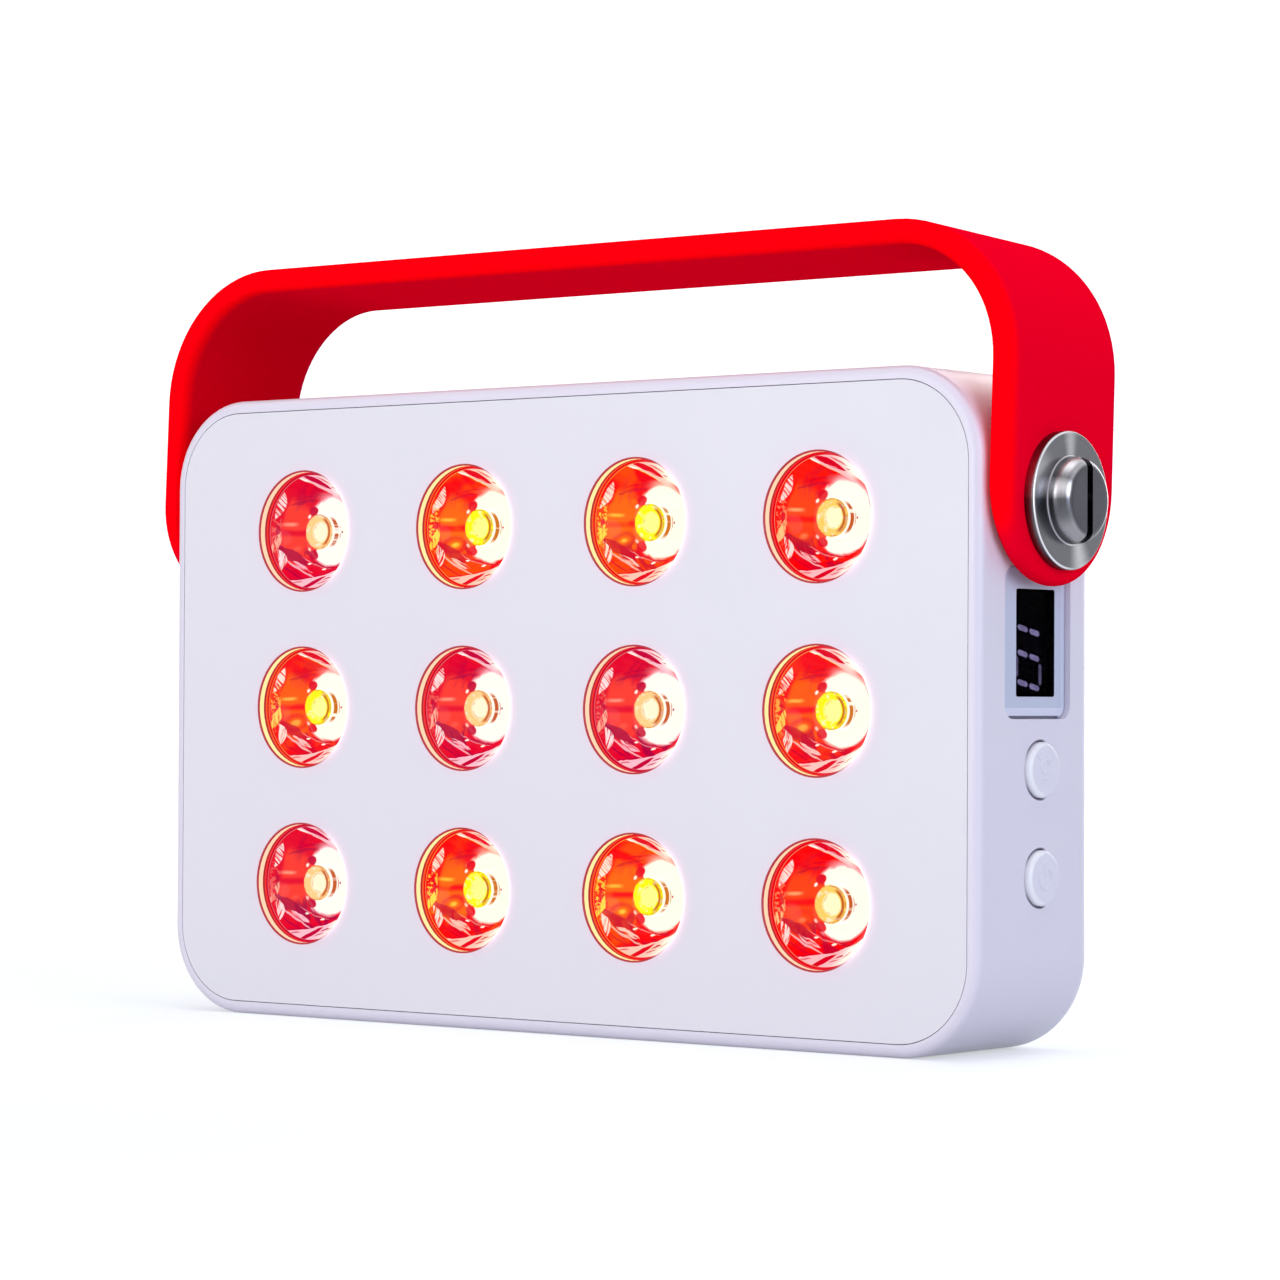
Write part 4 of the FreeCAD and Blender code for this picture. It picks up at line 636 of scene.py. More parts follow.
def moulded(name, tint, roughness, scale=2500.0, relief=0.02, spread=0.08, shade=0.03, paint=None,
            **constants):
    """A moulded, cast or coated finish with fine grain. Relief is in millimetres.

    Where a piece's colour varies, paint(tree, colour) gives its colour and its glow, or no glow.
    """
    material, tree, shader = new_material(name, **constants)
    skin = use_group(tree, "Grain", Scale=scale, Roughness=roughness, Spread=spread, Colour=tint, Shade=shade)
    surface, glow = paint(tree, skin["Base Color"]) if paint else (skin["Base Color"], None)
    feed(tree, shader.inputs["Base Color"], surface)
    if glow is not None:
        feed(tree, shader.inputs["Emission Color"], glow)
    feed(tree, shader.inputs["Roughness"], skin["Roughness"])
    bump(tree, shader, skin["Height"], relief * MM)
    arrange(tree)
    return material


def panel_paint(tree, skin):
    """The panel, with a faint painted halo of lens light round each hole, and painted light and shade on the
    walls and rims of its holes.
    """
    light = use_group(tree, "Lens light", Hole=PANEL_HOLE / MM)
    peach = blend_colour(tree, light["Warm"], linear(255, 222, 184), linear(255, 247, 170))
    deep = blend_colour(tree, light["Warm"], linear(255, 40, 12), linear(255, 92, 10))
    lit = larger(larger(light["Wall"], light["Lower wall"]), light["Rim"])
    # Painted light: the halo tints the panel's own colour pink, and under the painted glow of the holes the
    # colour is dark
    surface = layered(tree, skin, (light["Halo"] * 0.7, linear(255, 205, 226)), (lit, (0.05, 0.01, 0.01)))
    glow = layered(tree, (0.0, 0.0, 0.0), (light["Wall"] * 0.96, peach), (light["Lower wall"] * 0.9, deep),
                   (light["Rim"] * 0.95, linear(172, 6, 34)), (light["Flare"], (0.9, 0.8, 0.8)))
    return surface, glow


def button_place(tree):
    """Where a point lies about its nearest button.

    Returns millimetres from the button's axis, how far that way leans to the rear, and X in millimetres.
    """
    mode, power = middle("mode_button"), middle("power_button")
    x, y, z = split(object_place(tree))
    u = (y - mode.y) / MM
    v = (absolute(z - (mode.z + power.z) / 2) - (mode.z - power.z) / 2) / MM
    radius = span(u, v)
    return radius, u / larger(radius, 0.01), x / MM


def case_paint(tree, skin):
    """The case, with dark shadow lines at the front of its two button holes."""
    radius, lean, x = button_place(tree)
    line = band(radius, 4.9, 5.32, 0.05) * ramp(x, SIDE_FACE / MM - 1.2, SIDE_FACE / MM - 1.0)
    line = line * band(lean, -0.85, 0.25, 0.15)
    return blend_colour(tree, line * 0.9, skin, linear(58, 48, 92)), None


def button_paint(tree, skin):
    """The caps, with a painted highlight round the front of their rims."""
    radius, lean, _ = button_place(tree)
    # Painted highlight on the front of the round edge
    painted_rim_highlight = ramp(radius, 4.0, 4.3) * ramp(lean, 0.1, -0.3)
    return blend_colour(tree, painted_rim_highlight, skin, (0.97, 0.95, 1.0)), None


def surround_paint(tree, skin):
    """The frame round the display: a painted highlight on the lip along two edges, a dark seam below, a black
    inner edge.
    """
    low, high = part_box("display_bezel")
    glass_low, glass_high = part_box("display_window")
    centre, half = middle("display_window"), (glass_high - glass_low) / 2
    x, y, z = split(object_place(tree))
    above_foot, from_rear = (z - low.z) / MM, (high.y - y) / MM
    # Painted highlight along the lower edge, and a weaker one along the rear edge
    painted_lit_lip = larger(band(above_foot, 0.35, 1.7, 0.12), band(from_rear, 0.3, 1.1, 0.12) * 0.5)
    seam = ramp(above_foot, 0.36, 0.28) * ramp(from_rear, 1.6, 2.4)
    hole = (ramp((absolute(y - centre.y) - half.y) / MM, 0.08, 0.06)
            * ramp((absolute(z - centre.z) - half.z) / MM, 0.08, 0.06))
    sunk = ramp((high.x - x) / MM, 0.05, 0.15)
    return layered(tree, skin, (painted_lit_lip * 0.8, linear(226, 226, 246)), (seam * 0.95, linear(52, 44, 92)),
                   (hole * sunk, linear(10, 10, 14))), None


def grip_paint(tree, skin):
    """The strap, with painted light and shade: a painted highlight and glow along its front edge, a faint
    painted glow on the rest, and painted shade on its other faces, its rear edge and inside its arms.
    """
    x, y, z = split(object_place(tree))
    z = z - PIVOT.z
    across = (y - z * math.tan(HANDLE_LEAN)) / MM
    painted_shade_faces = ramp(across, -16.6, -13.6)
    # How far the surface faces the middle of the opening under the strap
    texture = tree.nodes.new("ShaderNodeTexCoord")
    outward = joined(tree, x, 0.0, z)
    facing = tree.nodes.new("ShaderNodeVectorMath")
    facing.operation = "DOT_PRODUCT"
    tree.links.new(texture.outputs["Normal"], facing.inputs[0])
    feed(tree, facing.inputs[1], outward)
    away = span(x, z)
    on_arms = ramp(absolute(x) / away, 0.80, 0.93)
    inward = ramp(Wire(tree, facing.outputs["Value"]) / away, -0.15, -0.75) * on_arms
    # Painted shade: the faces behind the front band half way to a deeper red, the inside of the arms deeper
    # still, the rear edge darker
    painted_shade_colour = layered(tree, skin, (0.5, (0.85, 0.0, 0.03)), (inward * 0.55, (0.38, 0.0, 0.0)),
                     (ramp(across, 15.4, 16.6) * 0.4, (0.45, 0.0, 0.06)))
    # Painted glow: bright along the front band, less on the inside of the arms, and faint on the other faces
    front = blend_colour(tree, inward * 0.45, (0.26, 0.0, 0.001), (0.03, 0.0, 0.0))
    return blend_colour(tree, painted_shade_faces, skin, painted_shade_colour), blend_colour(tree, painted_shade_faces, front, (0.07, 0.0, 0.002))


def lit_lens_finish(name, warmth, *tints):
    """Moulded clear plastic over a bright emitter, as its bowl shows it.

    The tints are 0-255 display values in the order of LENS_TINTS.
    """
    material, tree, shader = new_material(name, Roughness=0.12, Specular_IOR_Level=0.08,
                                          Emission_Strength=1.0)
    values = {kind: linear(*tint) for kind, tint in zip(LENS_TINTS, tints)}
    lit = use_group(tree, "Lit lens", Warmth=warmth, **values)
    for output in ("Base Color", "Emission Color"):
        feed(tree, shader.inputs[output], lit[output])
    arrange(tree)
    return material


def turned_metal(name, tint, painted_fans=0.0):
    """Metal off the lathe: rings round the axis, with the gloss drawn out across them, and fans of painted
    highlight and painted shade round the axis, as strong as its last argument.
    """
    material, tree, shader = new_material(name, Metallic=1.0, Anisotropic=0.75)
    marks = use_group(tree, "Turned", Pitch=0.22, Roughness=0.3, Fans=painted_fans, Colour=tint)
    for output in ("Base Color", "Roughness"):
        feed(tree, shader.inputs[output], marks[output])
    bump(tree, shader, marks["Height"], 0.006 * MM)
    around = tree.nodes.new("ShaderNodeTangent")
    around.direction_type = "RADIAL"
    around.axis = "X"
    tree.links.new(around.outputs[0], shader.inputs["Tangent"])
    arrange(tree)
    return material


def smoked_glass():
    """The dark window: smoked plastic that lets the lit bars through."""
    material, tree, shader = new_material("window_smoked", IOR=1.02, Transmission_Weight=1.0,
                                          Specular_IOR_Level=0.3)
    smear = noise(tree, object_place(tree), 300.0)
    feed(tree, shader.inputs["Base Color"], blend_colour(tree, smear, (0.44, 0.42, 0.50), (0.40, 0.39, 0.47)))
    feed(tree, shader.inputs["Roughness"], 0.02 + smear * 0.05)
    arrange(tree)
    return material


def lit_bar(name, tint, strength):
    """A glowing bar, duller in patches."""
    material, tree, shader = new_material(name, Roughness=0.5, Emission_Strength=strength)
    patches = ramp(noise(tree, object_place(tree), 700.0), 0.62, 0.38)
    glow = blend_colour(tree, patches * 0.5, tint, (0.1, 0.08, 0.14))
    feed(tree, shader.inputs["Base Color"], blend_colour(tree, 0.9, glow, (0.0, 0.0, 0.0)))
    feed(tree, shader.inputs["Emission Color"], glow)
    arrange(tree)
    return material


def show(material, *nodes):
    """Gives carried-over nodes their material."""
    for node in nodes:
        piece = NODES[node]
        if not piece.material_slots:
            piece.data.materials.append(material)
        for slot in piece.material_slots:
            slot.material = material


# ---------------------------------------------------------------------------------------------
# Surfaces
# ---------------------------------------------------------------------------------------------

def new_piece(name, points, faces, material, body, slot, sharp=35.0):
    """A mesh object at the origin, smooth except where faces meet at more than the given angle."""
    mesh = bpy.data.meshes.new(name)
    mesh.from_pydata(points.tolist(), [], faces)
    shape = bmesh.new()
    shape.from_mesh(mesh)
    bmesh.ops.remove_doubles(shape, verts=shape.verts, dist=0.002 * MM)
    bmesh.ops.recalc_face_normals(shape, faces=shape.faces)
    shape.to_mesh(mesh)
    shape.free()
    mesh.polygons.foreach_set("use_smooth", np.ones(len(mesh.polygons), bool))
    mesh.validate()
    mesh.set_sharp_from_angle(angle=math.radians(sharp))
    mesh.materials.append(material)
    piece = bpy.data.objects.new(name, mesh)
    bpy.context.scene.collection.objects.link(piece)
    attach(piece, body)
    return piece


def closed_faces(rings, count):
    """Faces of a grid of rings, numbered ring by ring, which two points after its last one close."""
    ring, turn = np.meshgrid(np.arange(rings - 1), np.arange(count), indexing="ij")
    here = ring * count + turn
    beside = ring * count + (turn + 1) % count
    quads = np.stack([here, here + count, beside + count, beside], axis=-1).reshape(-1, 4)
    around = np.arange(count)
    after = (around + 1) % count
    last = (rings - 1) * count
    start = np.stack([np.full(count, rings * count), around, after], axis=-1)
    end = np.stack([np.full(count, rings * count + 1), last + after, last + around], axis=-1)
    return quads.tolist() + start.tolist() + end.tolist()


def turned(profile, segments, centre, axis, relief=None):
    """A closed solid of revolution.

    profile lists (radius, distance along the axis) from the axis back to the axis. A point at angle a is
    centre + distance * axis + radius * (cos a * first + sin a * second), with first and second square to
    the axis. relief(u, v, radius, distance) adds to the distance, u and v being a point's offsets along
    first and second.
    """
    axis = np.array(axis, float)
    first = np.array([1.0, 0.0, 0.0]) if abs(axis[0]) < 0.5 else np.array([0.0, 1.0, 0.0])
    second = np.cross(axis, first)
    radii, along = np.array(profile, float).T
    turns = np.linspace(0, 2 * math.pi, segments, endpoint=False)
    u = radii[1:-1, None] * np.cos(turns)
    v = radii[1:-1, None] * np.sin(turns)
    distance = np.repeat(along[1:-1, None], segments, axis=1)
    if relief is not None:
        distance = distance + relief(u, v, radii[1:-1, None], along[1:-1, None])
    grid = centre + u[..., None] * first + v[..., None] * second + distance[..., None] * axis
    rings = len(radii) - 2
    poles = np.array([centre + along[0] * axis, centre + along[-1] * axis])
    return np.vstack([grid.reshape(-1, 3), poles]), closed_faces(rings, segments)


def arc(centre, radius, start, end, count):
    """Points (radius, distance) of a round edge, by angle in degrees."""
    turns = np.radians(np.linspace(start, end, count))
    return [(centre[0] + radius * math.cos(a), centre[1] + radius * math.sin(a)) for a in turns]


def lens_profile(sizes):
    """Half section of a lens: bulb, floor, bowl, face, flange, rear cone, collar and the emitter's room.

    The bulb's top has a dimple whose side is half a wave of a cosine. Up the bowl the depth is
    bowl_depth * (1 - s ** 1.6), with s from 0 at its floor to 1 at its mouth.
    """
    bulb, sunk, depth = sizes.bulb_radius, sizes.bulb_sunk, sizes.bowl_depth
    dimple = 0.9 * MM
    points = [(0.0, sunk + dimple), (0.6 * MM, sunk + dimple), (1.2 * MM, sunk + dimple)]
    for s in np.linspace(0, 1, 9):
        points.append((1.7 * MM + s * 0.7 * MM, sunk + dimple * (0.5 + 0.5 * math.cos(math.pi * s))))
    points += arc((bulb - 0.3 * MM, sunk + 0.3 * MM), 0.3 * MM, -90, 0, 6)
    points += [(bulb + 0.05 * MM, sunk + (depth - sunk) * s) for s in (0.2, 0.4, 0.6, 0.8)]
    points += arc((bulb + 0.25 * MM, depth - 0.2 * MM), 0.2 * MM, 180, 90, 4)
    reach = sizes.bowl_radius - sizes.floor_radius
    for s in np.linspace(0, 1, 25):
        points.append((sizes.floor_radius + reach * s, depth * (1 - s ** 1.6)))
    points += [(sizes.bowl_radius + 0.08 * MM, 0.0), (LENS_RADIUS - 1.0 * MM, 0.0), (LENS_RADIUS, 0.0),
               (LENS_RADIUS, 1.2 * MM), (sizes.bowl_radius + 0.2 * MM, 1.2 * MM)]
    points += [(5.0 * MM, LENS_LENGTH - 1.4 * MM), (5.0 * MM, LENS_LENGTH), (2.6 * MM, LENS_LENGTH),
               (2.6 * MM, LENS_LENGTH - 4.0 * MM), (0.0, LENS_LENGTH - 4.0 * MM)]
    return points


def cap_relief(kind, height):
    """Height of the raised symbol of a button over its top face, by distance from its strokes.

    The power symbol is an open ring with an upright bar, the mode symbol a small lamp with three rays.
    """
    def distance_to_line(u, v, start, end):
        start, end = np.array(start) * MM, np.array(end) * MM
        run = end - start
        share = np.clip(((u - start[0]) * run[0] + (v - start[1]) * run[1]) / (run @ run), 0, 1)
        return np.hypot(u - start[0] - share * run[0], v - start[1] - share * run[1])

    def relief(u, v, radius, along):
        # u runs to the rear and v up the button
        if kind == "power":
            ring = np.abs(np.hypot(u, v) - 1.9 * MM)
            opening = np.abs(np.arctan2(u, v)) < math.radians(32)
            ring = np.where(opening, 1.0, ring)
            distance = np.minimum(ring, distance_to_line(u, v, (0, 0.6), (0, 2.5)))
        else:
            head = np.abs(np.hypot(u, v - 0.5 * MM) - 1.35 * MM)
            head = np.where(v < -0.6 * MM, 1.0, head)
            distance = np.minimum(head, distance_to_line(u, v, (-0.6, -1.5), (0.6, -1.5)))
            for turn in (-50, 0, 50):
                sine, cosine = math.sin(math.radians(turn)), math.cos(math.radians(turn))
                inner, outer = ((far * sine, 0.5 + far * cosine) for far in (2.1, 2.9))
                ray = distance_to_line(u, v, inner, outer)
                distance = np.minimum(distance, ray)
        rise = np.clip((0.3 * MM - distance) / (0.16 * MM), 0, 1)
        on_top = (radius < 3.9 * MM) & (along > SIDE_FACE)
        return height * rise * rise * (3 - 2 * rise) * on_top

    return relief


def button_profile(node):
    """Half section of a button: slightly dished top, round edge, skirt, flange and stem."""
    low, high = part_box(node)
    flange = (high.z - low.z) / 2
    cap = flange - 1.3 * MM
    inside = SIDE_FACE - 3.4 * MM
    top = high.x
    points = [(0.0, top - 0.05 * MM)]
    points += [(r, top - 0.05 * MM * (1 - (r / (cap - 0.8 * MM)) ** 2))
               for r in np.linspace(0, cap - 0.8 * MM, 80)[1:]]
    points += arc((cap - 0.8 * MM, top - 0.8 * MM), 0.8 * MM, 90, 0, 10)[1:]
    points += [(cap, inside), (flange, inside), (flange, inside - 1.0 * MM), (2.0 * MM, inside - 1.0 * MM),
               (2.0 * MM, low.x), (0.0, low.x)]
    return points


def digit_bars(sizes):
    """Fourteen bars with pointed ends and bevelled fronts, and the finish of each face.

    A bar's outline is a hexagon: a rectangle whose short ends are drawn out to points. It is carried from the
    back to the front in three rings, the last drawn in by the bevel. Up in a digit is +Y and its right is
    -Z, so the point u up and w right lands at y = u, z = -w - lean * u. The finish is 0 for a dark bar, 1 for
    a lit one and 2 for a lit crossbar.
    """
    lean, bevel, thickness = 0.19, 0.06 * MM, 0.15 * MM
    window = middle("display_window")
    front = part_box("display_digits")[1].x
    half_up = (sizes.digit_height - sizes.bar_width) / 2
    half_across = (sizes.digit_width - sizes.bar_width) / 2
    # For each bar: up, right, whether it runs up the digit, and its finish in digit 1 and in digit 0
    table = np.array([(0.5, 1, 1, 1, 1), (-0.5, 1, 1, 1, 1), (0.5, -1, 1, 0, 1), (-0.5, -1, 1, 0, 1),
                      (1, 0, 0, 0, 2), (0, 0, 0, 0, 0), (-1, 0, 0, 0, 2)])
    upright = table[:, 2, None, None] > 0
    half_length = np.where(upright, half_up / 2 - 0.25 * MM, half_across - 0.7 * MM)
    half_width = np.where(upright, 0.5, 0.42) * sizes.bar_width
    inset = np.array([0.0, 0.0, bevel])[:, None]
    end = np.array([-1, -1, 1, 1, 1, -1])
    blunt = np.array([0, 1, 1, 0, 1, 1])
    along = end * (half_length - inset - blunt * (half_width - inset))
    side = np.array([0, 1, 1, 0, -1, -1]) * (half_width - inset)
    u = table[:, 0, None, None] * half_up + np.where(upright, along, side)
    w = table[:, 1, None, None] * half_across + np.where(upright, side, along)
    x = np.broadcast_to(np.array([front - thickness, front - bevel, front])[:, None], u.shape)
    foot = window.y + 0.15 * MM
    digits = [np.stack([x, foot + u, window.z + place * sizes.digit_pitch - w - lean * u], axis=-1)
              for place in (0.5, -0.5)]
    points = np.concatenate(digits).reshape(-1, 3)
    around = np.arange(6)
    ring = np.stack([around, (around + 1) % 6, (around + 1) % 6 + 6, around + 6], axis=-1)
    starts = np.arange(0, len(points), 18)[:, None, None]
    quads = (np.concatenate([ring, ring + 6]) + starts).reshape(-1, 4)
    caps = (np.stack([around, around + 12]) + starts).reshape(-1, 6)
    kinds = table[:, 3:].T.reshape(-1).astype(int)
    return points, quads.tolist() + caps.tolist(), np.concatenate([np.repeat(kinds, 12), np.repeat(kinds, 2)])


def slotted_screw(side):
    """A pivot screw: shank, shoulder, flange and a domed head that a coin slot crosses.

    Each ring of the profile (radius r, distance h along the axis) is walked once round in four stretches,
    which break where the ring meets the slot, at the angle asin(half width / r) from the slot's line.
    Points in the two stretches over the slot drop to the slot's floor where the head is higher than it.
    """
    low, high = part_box("pivot_screw_" + side)
    way = 1.0 if side == "right" else -1.0
    front = max(abs(low.x), abs(high.x))
    start = min(abs(low.x), abs(high.x))
    flange, head, half = (high.z - low.z) / 2, 7.65 * MM, 0.9 * MM
    flange_front = front - 3.8 * MM
    floor = front - 2.2 * MM
    head_rings = [(half, front), (2.0 * MM, front), (3.4 * MM, front), (4.6 * MM, front), (5.4 * MM, front)]
    # The dome is a quarter of an ellipse, wider than it is high, on a short upright foot
    head_rings += [(5.4 * MM + 2.2 * MM * math.sin(a), front - 3.3 * MM * (1 - math.cos(a)))
                   for a in np.radians(np.linspace(6, 90, 22))]
    profile = head_rings + [(head, flange_front + 0.1 * MM), (head, flange_front)]
    profile += [(r, flange_front) for r in np.linspace(head + 0.1 * MM, flange - 0.35 * MM, 8)]
    profile += [(flange - 0.35 * MM + 0.35 * MM * math.sin(a), flange_front - 0.35 * MM * (1 - math.cos(a)))
                for a in np.radians(np.linspace(15, 90, 6))]
    profile += [(flange, flange_front - 1.9 * MM), (4.5 * MM, flange_front - 1.9 * MM),
                (4.5 * MM, SIDE_FACE), (3.0 * MM, SIDE_FACE), (3.0 * MM, start)]
    radii, heights = np.array(profile).T
    over, beside = 10, 54
    slip = np.arcsin(np.clip(half / radii, 0, 1))[:, None]
    step_over, step_beside = np.linspace(-1, 1, over), np.linspace(0, 1, beside)
    stretches = [slip * step_over, slip + (math.pi - 2 * slip) * step_beside,
                 math.pi + slip * step_over, math.pi + slip + (math.pi - 2 * slip) * step_beside]
    turns = np.concatenate(stretches, axis=1)
    in_slot = np.concatenate([np.ones(over), np.zeros(beside), np.ones(over), np.zeros(beside)]) > 0
    rise = np.where(in_slot, np.minimum(heights[:, None], floor), heights[:, None])
    grid = np.stack([way * rise, PIVOT.y + radii[:, None] * np.sin(turns),
                     PIVOT.z + radii[:, None] * np.cos(turns)], axis=-1)
    poles = [(way * floor, PIVOT.y, PIVOT.z), (way * start, PIVOT.y, PIVOT.z)]
    return np.vstack([grid.reshape(-1, 3), poles]), closed_faces(*turns.shape)


def hex_screws():
    """The six case screws: a head with a rounded edge and a hexagonal socket, on a plain shank.

    A point at angle a on a ring of radius r lies r from the axis, or r / cos(b) within the socket, with b
    the angle from the middle of the nearest flat, which turns the circle into a hexagon.
    """
    low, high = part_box("case_screws")
    head, length = 2.8 * MM, high.y - low.y
    # Radius, depth below the top of the head, and 1 within the socket
    profile = np.array([(1.25 * MM, 0.9 * MM, 1), (1.25 * MM, 0.1 * MM, 1), (1.36 * MM, 0.0, 1),
                        (head - 0.34 * MM, 0.0, 0), (head - 0.1 * MM, 0.08 * MM, 0), (head, 0.3 * MM, 0),
                        (head, 1.2 * MM, 0), (1.5 * MM, 1.2 * MM, 0), (1.5 * MM, length - 0.5 * MM, 0),
                        (1.1 * MM, length, 0)])
    radii, depths, in_socket = (column[:, None] for column in profile.T)
    turns = np.linspace(0, 2 * math.pi, 48, endpoint=False)
    radii = radii / np.where(in_socket > 0, np.cos(turns % (math.pi / 3) - math.pi / 6), 1.0)
    rings = np.stack([radii * np.cos(turns), high.y - depths + 0 * turns, radii * np.sin(turns)], axis=-1)
    poles = np.array([(0.0, high.y - 0.9 * MM, 0.0), (0.0, low.y, 0.0)])
    one = np.vstack([rings.reshape(-1, 3), poles])
    places = np.array([(x, 0.0, z) for x in (low.x + head, 0.0, high.x - head)
                       for z in (low.z + head, high.z - head)])
    points = (places[:, None] + one).reshape(-1, 3)
    faces = [[corner + len(one) * i for corner in face]
             for i in range(len(places)) for face in closed_faces(len(profile), len(turns))]
    return points, faces


# ---------------------------------------------------------------------------------------------
# Operators
# ---------------------------------------------------------------------------------------------

def settings():
    """The colours, the sizes and the stage that a user sets."""
    scene = bpy.context.scene
    return scene.safelight_colours, scene.safelight_sizes, scene.safelight_stage


class SAFELIGHT_OT_stage(bpy.types.Operator):
    """Camera, floor, backdrop and lamps"""
    bl_idname = "safelight.stage"
    bl_label = "Stage"

    def execute(self, context):
        _, _, stage = settings()
        scene = context.scene
        scene.view_settings.view_transform = "Standard"
        az, el, roll = stage.azimuth, stage.elevation, stage.roll
        back = Vector((math.sin(az) * math.cos(el), -math.cos(az) * math.cos(el), math.sin(el)))
        right = Vector((math.cos(az), math.sin(az), 0.0))
        up = back.cross(right)
        right, up = (right * math.cos(roll) + up * math.sin(roll),
                     up * math.cos(roll) - right * math.sin(roll))
        data = bpy.data.cameras.new("camera")
        data.lens = stage.focal
        data.sensor_width = 36.0
        data.clip_start = 0.01
        camera = bpy.data.objects.new("camera", data)
        rows = Matrix((right, up, back)).transposed().to_4x4()
        camera.matrix_world = Matrix.Translation(stage.camera_place) @ rows
        scene.collection.objects.link(camera)
        scene.camera = camera
        self.make_room(scene)
        self.make_world(scene, stage.ambient)
        aim = Vector((0.0, 0.0, 0.07))
        self.lamp("key", (-0.45, -1.25, 0.3), aim, 0.9, stage.key)
        self.lamp("fill", (1.15, -0.35, 0.35), aim, 0.7, stage.fill).color = (0.72, 0.83, 1.0)
        self.lamp("top", (0.1, 0.1, 1.1), aim, 0.8, stage.top)
        self.lamp("rear", (-0.2, 1.35, 0.45), aim, 0.9, stage.rear)
        return {"FINISHED"}

    @staticmethod
    def make_room(scene):
        """A pale sheet along the floor that curves up behind: a quarter circle between two planes."""
        width, front, rear, bend, height = 8.0, -4.0, 3.0, 0.8, 4.0
        path = [(front, 0.0), (-1.0, 0.0), (0.0, 0.0), (1.0, 0.0), (rear - bend, 0.0)]
        turns = np.linspace(0, math.pi / 2, 24)[1:]
        path += [(rear - bend + bend * math.sin(a), bend - bend * math.cos(a)) for a in turns]
        path.append((rear, height))
        y, z = np.array(path).T
        x = np.linspace(-width / 2, width / 2, 9)
        points = np.stack([np.repeat(x[None], len(y), 0), np.repeat(y[:, None], len(x), 1),
                           np.repeat(z[:, None], len(x), 1)], axis=-1).reshape(-1, 3)
        faces = [[i * len(x) + j, i * len(x) + j + 1, (i + 1) * len(x) + j + 1, (i + 1) * len(x) + j]
                 for i in range(len(y) - 1) for j in range(len(x) - 1)]
        mesh = bpy.data.meshes.new("floor")
        mesh.from_pydata(points.tolist(), [], faces)
        mesh.polygons.foreach_set("use_smooth", np.ones(len(faces), bool))
        material, tree, shader = new_material("floor_paper", Roughness=0.9, Specular_IOR_Level=0.1,
                                              Emission_Strength=1.0)
        paper = use_group(tree, "Grain", Scale=900.0, Roughness=0.9, Spread=0.02, Colour=(0.55, 0.58, 0.63),
                          Shade=0.004)
        feed(tree, shader.inputs["Base Color"], paper["Base Color"])
        # Seen directly or in gloss, the paper reads as white, and far off it is white by itself
        direct = seen_directly(tree)
        x, y, z = split(object_place(tree))
        away = ramp(span(span(x, y), z), 0.2, 0.8)
        feed(tree, shader.inputs["Emission Color"],
             blend_colour(tree, direct * (0.5 + 0.5 * away), (0.0, 0.0, 0.0), (1.0, 1.0, 1.0)))
        arrange(tree)
        mesh.materials.append(material)
        floor = bpy.data.objects.new("floor", mesh)
        scene.collection.objects.link(floor)

    @staticmethod
    def make_world(scene, ambient):
        """White where it is seen directly or in gloss, and elsewhere an even light of the ambient level."""
        world = bpy.data.worlds.new("studio")
        world.use_nodes = True
        tree = world.node_tree
        background = tree.nodes["Background"]
        background.inputs["Color"].default_value = (1.0, 1.0, 1.0, 1.0)
        direct = seen_directly(tree)
        feed(tree, background.inputs["Strength"], ambient + direct * (1.0 - ambient))
        scene.world = world

    @staticmethod
    def lamp(name, place, aim, size, brightness):
        """An area lamp that lights a white surface facing it at the aim to the given level."""
        place = Vector(place)
        away = (aim - place).length
        data = bpy.data.lights.new(name, "AREA")
        data.shape = "DISK"
        data.size = size
        data.energy = brightness * (math.pi * away) ** 2
        lamp = bpy.data.objects.new(name, data)
        turn = (place - aim).to_track_quat("Z", "Y").to_matrix().to_4x4()
        lamp.matrix_world = Matrix.Translation(place) @ turn
        bpy.context.scene.collection.objects.link(lamp)
        return data


class SAFELIGHT_OT_case(bpy.types.Operator):
    """Finishes of the case, the panel and the rear"""
    bl_idname = "safelight.case"
    bl_label = "Case and panel"

    def execute(self, context):
        colours, _, _ = settings()
        show(moulded("case_satin", colours.case, 0.34, relief=0.015, paint=case_paint,
                     Coat_Weight=0.05, Coat_Roughness=0.3), "rear_housing")
        show(moulded("panel_satin", colours.panel, 0.42, 2600.0, 0.015, 0.06, 0.02, panel_paint,
                     Coat_Weight=0.1, Coat_Roughness=0.25, Emission_Strength=1.0), "front_panel")
        show(moulded("seal_rubber", linear(52, 52, 56), 0.7, 1500.0), "panel_gasket")
        show(moulded("socket_steel", linear(176, 176, 180), 0.3, 900.0, Metallic=1.0), "charge_socket")
        screw_steel = moulded("screw_steel", linear(128, 128, 134), 0.32, 1500.0, Metallic=1.0)
        screws = new_piece("socket_screws", *hex_screws(), screw_steel, "case", "screw_steel", 30.0)
        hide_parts("case_screws")
        return {"FINISHED"}


